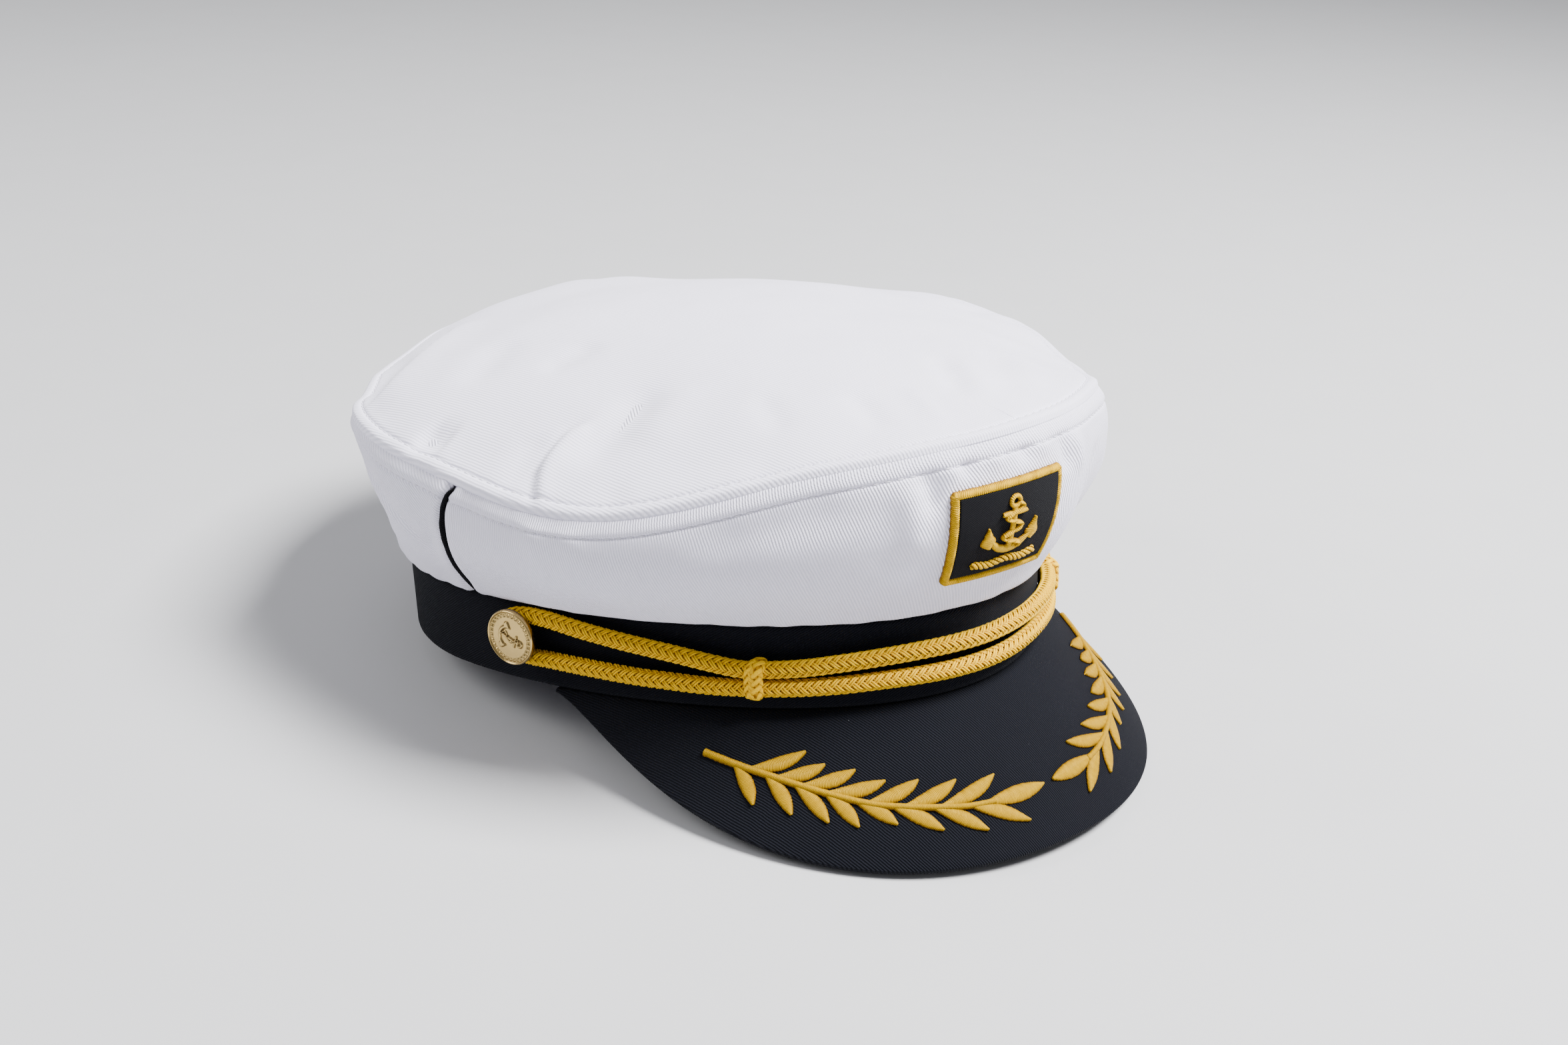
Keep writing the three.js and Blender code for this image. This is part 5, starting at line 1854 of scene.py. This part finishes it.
@dataclass
class Patch(Assembly):
    """The front patch: black cloth, an overlocked gold border, a fouled anchor and a rope bar under it."""

    crown: Crown
    turn: float = PATCH_TURN
    up: float = PATCH_UP
    width: float = 34.0
    height: float = 27.0
    border: float = 2.2
    corner: float = 1.3
    clear: float = 0.3
    wall: float = 1.1

    def at(self, x: Array, y: Array, lift: Array = 0.0) -> Array:
        """Points of the patch.

        Args:
            x: towards the wearer's left, in millimetres from its middle.
            y: upwards.
            lift: distance out of the crown's plain side.

        Returns:
            Points in the shape that the three share.
        """
        side = self.crown.side
        wide = np.linalg.norm(side(self.turn + 0.5, self.up) - side(self.turn - 0.5, self.up))
        tall = np.linalg.norm(side(self.turn, self.up + 0.1) - side(self.turn, self.up - 0.1)) / 0.2
        return side(self.turn - np.asarray(x) / wide, self.up + np.asarray(y) / tall, lift)

    def face(self, x: Array, y: Array) -> Array:
        """The direction square to the patch, from small steps over it.

        Args:
            x: one for each place.
            y: one for each place.

        Returns:
            Unit vectors that look out of the crown.
        """
        right = self.at(x + 0.05, y) - self.at(x - 0.05, y)
        high = self.at(x, y + 0.05) - self.at(x, y - 0.05)
        square = unit(np.cross(high, right))
        return square * np.sign(square @ OVAL.outwards(self.turn))[:, None]

    def line(
        self,
        route: Array,
        half: Array,
        raised: float,
        pitch: float,
        slant: float,
        seed: int,
        ring: bool = False,
        twist: float = 0.0,
        ridges: float = 0.2,
        base: Optional[float] = None,
    ) -> list[Sheet]:
        """A satin line on the patch's cloth.

        Args:
            route: x and y of its middle line.
            half: half its width at each of these points.
            raised: height of its padding.
            pitch: distance between threads.
            slant: lean of the threads.
            seed: of its uneven threads.
            ring: whether the line closes.
            twist: height of the slow wave along it.
            ridges: height of the threads' ridges.
            base: how far it stands over the crown; on the patch's cloth where it isn't given.

        Returns:
            The sheets of one shell.
        """
        full = np.concatenate([np.array(route, float), np.array(half, float)[:, None]], axis=1)
        even = even_curve(full, pitch / 4, ring)
        x, y = even[:, 0], even[:, 1]
        axis = self.at(x, y, self.clear_of_cloth if base is None else base)
        return satin(axis, self.face(x, y), even[:, 2], raised, pitch, slant, seed, ring, twist, ridges)

    @property
    def clear_of_cloth(self) -> float:
        """How far the motif's threads stand over the crown: just over the patch's own cloth."""
        return self.clear + self.wall + 0.03

    def build_ground(self) -> None:
        """Makes the black cloth, softly padded inside the border."""
        x = np.linspace(-0.5, 0.5, 60) * (self.width - 2 * self.border + 0.6)
        y = np.linspace(-0.5, 0.5, 50) * (self.height - 2 * self.border + 0.6)
        xs, ys = np.meshgrid(x, y)
        outer = self.at(xs, ys, self.clear + self.wall - 0.05 + 0.05 * soft_noise(xs, ys, 5.0, 41))
        inner = self.at(xs, ys, 0.12)
        sheets = slab(outer, inner, np.stack([xs, ys], axis=-1))
        self.makes.piece("patch_black_cloth", [sheets], [self.finishes.patch_twill], "black_cloth", ["patch_ground"])

    def build_border(self) -> None:
        """Makes the overlocked border: threads wrapped round the edge of a rectangle with round corners."""
        inset = self.border / 2
        r = self.corner - inset
        x, y = self.width / 2 - inset - r, self.height / 2 - inset - r
        spots = []
        for middle, start in (((x, y), 0), ((-x, y), 90), ((-x, -y), 180), ((x, -y), 270)):
            bend = np.radians(start + np.array([0.0, 30.0, 60.0, 90.0]))
            spots.append(np.array(middle) + r * np.stack([np.cos(bend), np.sin(bend)], axis=1))
        route = np.concatenate(spots)
        dense = []
        for start, end in zip(route, np.roll(route, -1, axis=0)):
            steps = max(1, int(np.linalg.norm(end - start) / 2.5))
            dense.append(start + (end - start) * (np.arange(steps) / steps)[:, None])
        route = np.concatenate(dense)
        half = np.full(len(route), self.border / 2 + 0.08)
        shell = self.line(route, half, 1.4, 0.55, 0.5, 77, ring=True, ridges=0.42, base=0.1)
        look = [self.finishes.border_thread]
        self.makes.piece("patch_gold_border", [shell], look, "gold_thread", ["patch_border"])

    def build_motif(self) -> None:
        """Makes the anchor of satin lines with a rope wound over its shank, and the rope bar under it."""
        # The anchor's height, which all its sizes are shares of, and its lowest level
        h, low = 0.574 * self.height, (0.07 - 0.287) * self.height

        def arc(up: float, radius: float, start: float, end: float, count: int) -> Array:
            """Points of an arc whose middle lies on the shank's line, at a height and of a radius in shares of h."""
            bend = np.radians(np.linspace(start, end, count))
            return np.stack([radius * h * np.cos(bend), low + up * h + radius * h * np.sin(bend)], axis=1)

        shank = np.stack([np.zeros(6), low + np.linspace(0.03, 0.81, 6) * h], axis=1)
        stock = np.stack([np.linspace(-0.23, 0.23, 5) * h, np.full(5, low + 0.69 * h)], axis=1)
        arm_halves = np.array([3, 5, 6.5, 7.6, 8, 8.3, 8, 7.6, 6.5, 5, 3])
        shells = [
            self.line(shank, np.full(6, 0.058 * h), 0.7, 0.42, 0.2, 1),
            self.line(stock, np.array([0.035, 0.05, 0.045, 0.05, 0.035]) * h, 0.85, 0.42, 0.2, 2),
            self.line(arc(0.89, 0.085, 0, 330, 12), np.full(12, 0.04 * h), 0.8, 0.42, 0.1, 3),
            self.line(arc(0.47, 0.43, 208, 332, 11), arm_halves * h / 100, 0.8, 0.42, 0.3, 4),
        ]
        for side in (-1, 1):
            fluke = np.array([[0.41, 0.14], [0.43, 0.24], [0.445, 0.36], [0.46, 0.51]]) * h
            fluke = fluke * np.array([side, 1]) + np.array([0, low])
            shells.append(self.line(fluke, np.array([0.04, 0.15, 0.085, 0.012]) * h, 0.85, 0.42, 0.25, 6 + side))
        sway = np.linspace(0, 1, 26)
        rope_x = h * (0.13 + 0.05 * sway) * np.sin(sway * 14.5 + 0.5)
        rope = np.stack([rope_x, low + h * (0.86 - 0.8 * sway)], axis=1)
        shells.append(self.line(rope, np.full(26, 0.038 * h), 1.15, 0.4, 0.3, 9, twist=0.25))
        self.makes.piece("patch_gold_anchor", shells, [self.finishes.gold_thread], "gold_thread", ["patch_anchor"])
        bar = np.linspace(-0.5, 0.5, 25)
        bar_height = -0.322 * self.height + 0.4 * np.cos(4 * np.pi * bar)
        even = even_curve(np.stack([bar * 0.62 * self.width, bar_height], axis=1), 0.2)
        points = self.at(even[:, 0], even[:, 1], self.clear_of_cloth + 0.25)
        laid = Braid(each_way=3, lead=4.6, sides=10, yarns=1, yarn=0.34, core=0.4, dive=0.0, ways=(1,))
        shells = laid.shells(points, self.face(even[:, 0], even[:, 1]), 0.85, 1.0, ring=False)
        look = [self.finishes.gold_thread]
        self.makes.piece("patch_gold_rope_bar", shells, look, "gold_thread", ["patch_rope_bar"])

    def build(self) -> None:
        """Makes the whole patch."""
        self.build_ground()
        self.build_border()
        self.build_motif()


def standing(axes: Array, spot: Sequence[float]) -> Matrix:
    """The matrix that places an object.

    Args:
        axes: its right, up and back directions, one in each row.
        spot: its place.

    Returns:
        The matrix.
    """
    view = np.eye(4)
    view[:3, :3], view[:3, 3] = axes.T, spot
    return Matrix(view.tolist())


@dataclass(frozen=True)
class SoftLight:
    """A square light that looks at the cap: its place and the length of its side in metres, its power in watts."""

    name: str
    place: tuple[float, float, float]
    side: float
    power: float
    target: tuple[float, float, float] = (0.0, 0.0, 0.05)

    def build(self) -> None:
        """Makes the light."""
        data = bpy.data.lights.new(self.name, "AREA")
        data.size, data.energy = self.side, self.power
        back = unit(np.array(self.place) - np.array(self.target))
        right = unit(np.cross(UP, back))
        linked(self.name, data).matrix_world = standing(np.stack([right, np.cross(back, right), back]), self.place)


@dataclass
class Studio:
    """A pale floor, soft light and the camera."""

    place: CapPlace = field(default_factory=CapPlace)
    turn: float = -38.56108992
    height: float = 18.06737026
    roll: float = -2.64441217
    middle: tuple[float, float, float] = (-19.20673115, -17.96303537, 536.90313106)
    focus: float = 2636.8
    image_width: float = 2352.0
    sensor: float = 36.0
    floor_half: float = 4.0
    sky: Colour = (0.93, 0.95, 1.0, 1.0)
    sky_strength: float = 0.42
    lights: tuple[SoftLight, ...] = (
        SoftLight("key_light", (0.52, -0.62, 1.3), 0.6, 104.0),
        SoftLight("rear_light", (-0.9, 0.75, 0.9), 0.8, 13.0),
    )

    def build_camera(self) -> None:
        """Makes the camera: its right, up and back directions in the cap's own frame, turned as the cap rests."""
        a, e, r = (math.radians(v) for v in (self.turn, self.height, self.roll))
        back = np.array([math.sin(a) * math.cos(e), -math.cos(a) * math.cos(e), math.sin(e)])
        right = np.array([math.cos(a), math.sin(a), 0.0])
        up = np.cross(back, right)
        axes = np.stack([right * math.cos(r) + up * math.sin(r), up * math.cos(r) - right * math.sin(r), back])
        seat = axes.T @ np.array([-self.middle[0], -self.middle[1], self.middle[2]])
        lens = bpy.data.cameras.new("camera")
        lens.sensor_width = self.sensor
        lens.lens = self.focus / self.image_width * self.sensor
        lens.clip_start = 0.01
        camera = linked("camera", lens)
        camera.matrix_world = standing(self.place.turned(axes), self.place.world(seat))
        bpy.context.scene.camera = camera

    def build_floor(self) -> None:
        """Makes the floor: one wide level face of pale matt grey with a faint grain."""
        far = self.floor_half
        mesh = bpy.data.meshes.new("floor")
        mesh.from_pydata([(-far, -far, 0), (far, -far, 0), (far, far, 0), (-far, far, 0)], [], [(0, 1, 2, 3)])
        shader = Shader("pale_floor", roughness=0.7, specular=0.2)
        grain = shader.noise(shader.place(), 30.0, 2.0)
        tone = shader.mix(grain, (0.47, 0.47, 0.48, 1), (0.49, 0.49, 0.5, 1))
        mesh.materials.append(shader.finish(tone, grain, depth_mm=0.02))
        floor = linked("floor", mesh)

    def build(self) -> None:
        """Makes the whole studio."""
        self.build_camera()
        self.build_floor()
        for light in self.lights:
            light.build()
        world = bpy.data.worlds.new("studio")
        world.use_nodes = True
        background = world.node_tree.nodes["Background"]
        background.inputs["Color"].default_value = self.sky
        background.inputs["Strength"].default_value = self.sky_strength
        bpy.context.scene.world = world


def main() -> None:
    """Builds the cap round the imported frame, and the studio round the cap."""
    logging.basicConfig(level=logging.INFO, format="%(name)s: %(message)s")
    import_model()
    makes, finishes = MeshMaker(), Finishes()
    crown = Crown(makes, finishes)
    crown.build()
    HeadBand(makes, finishes).build()
    peak = Peak(makes, finishes)
    peak.build()
    Laurel(makes, finishes, peak).build()
    CordSet(makes, finishes).build()
    Button(makes, finishes).build()
    Patch(makes, finishes, crown).build()
    Studio().build()


if __name__ == "__main__":
    main()
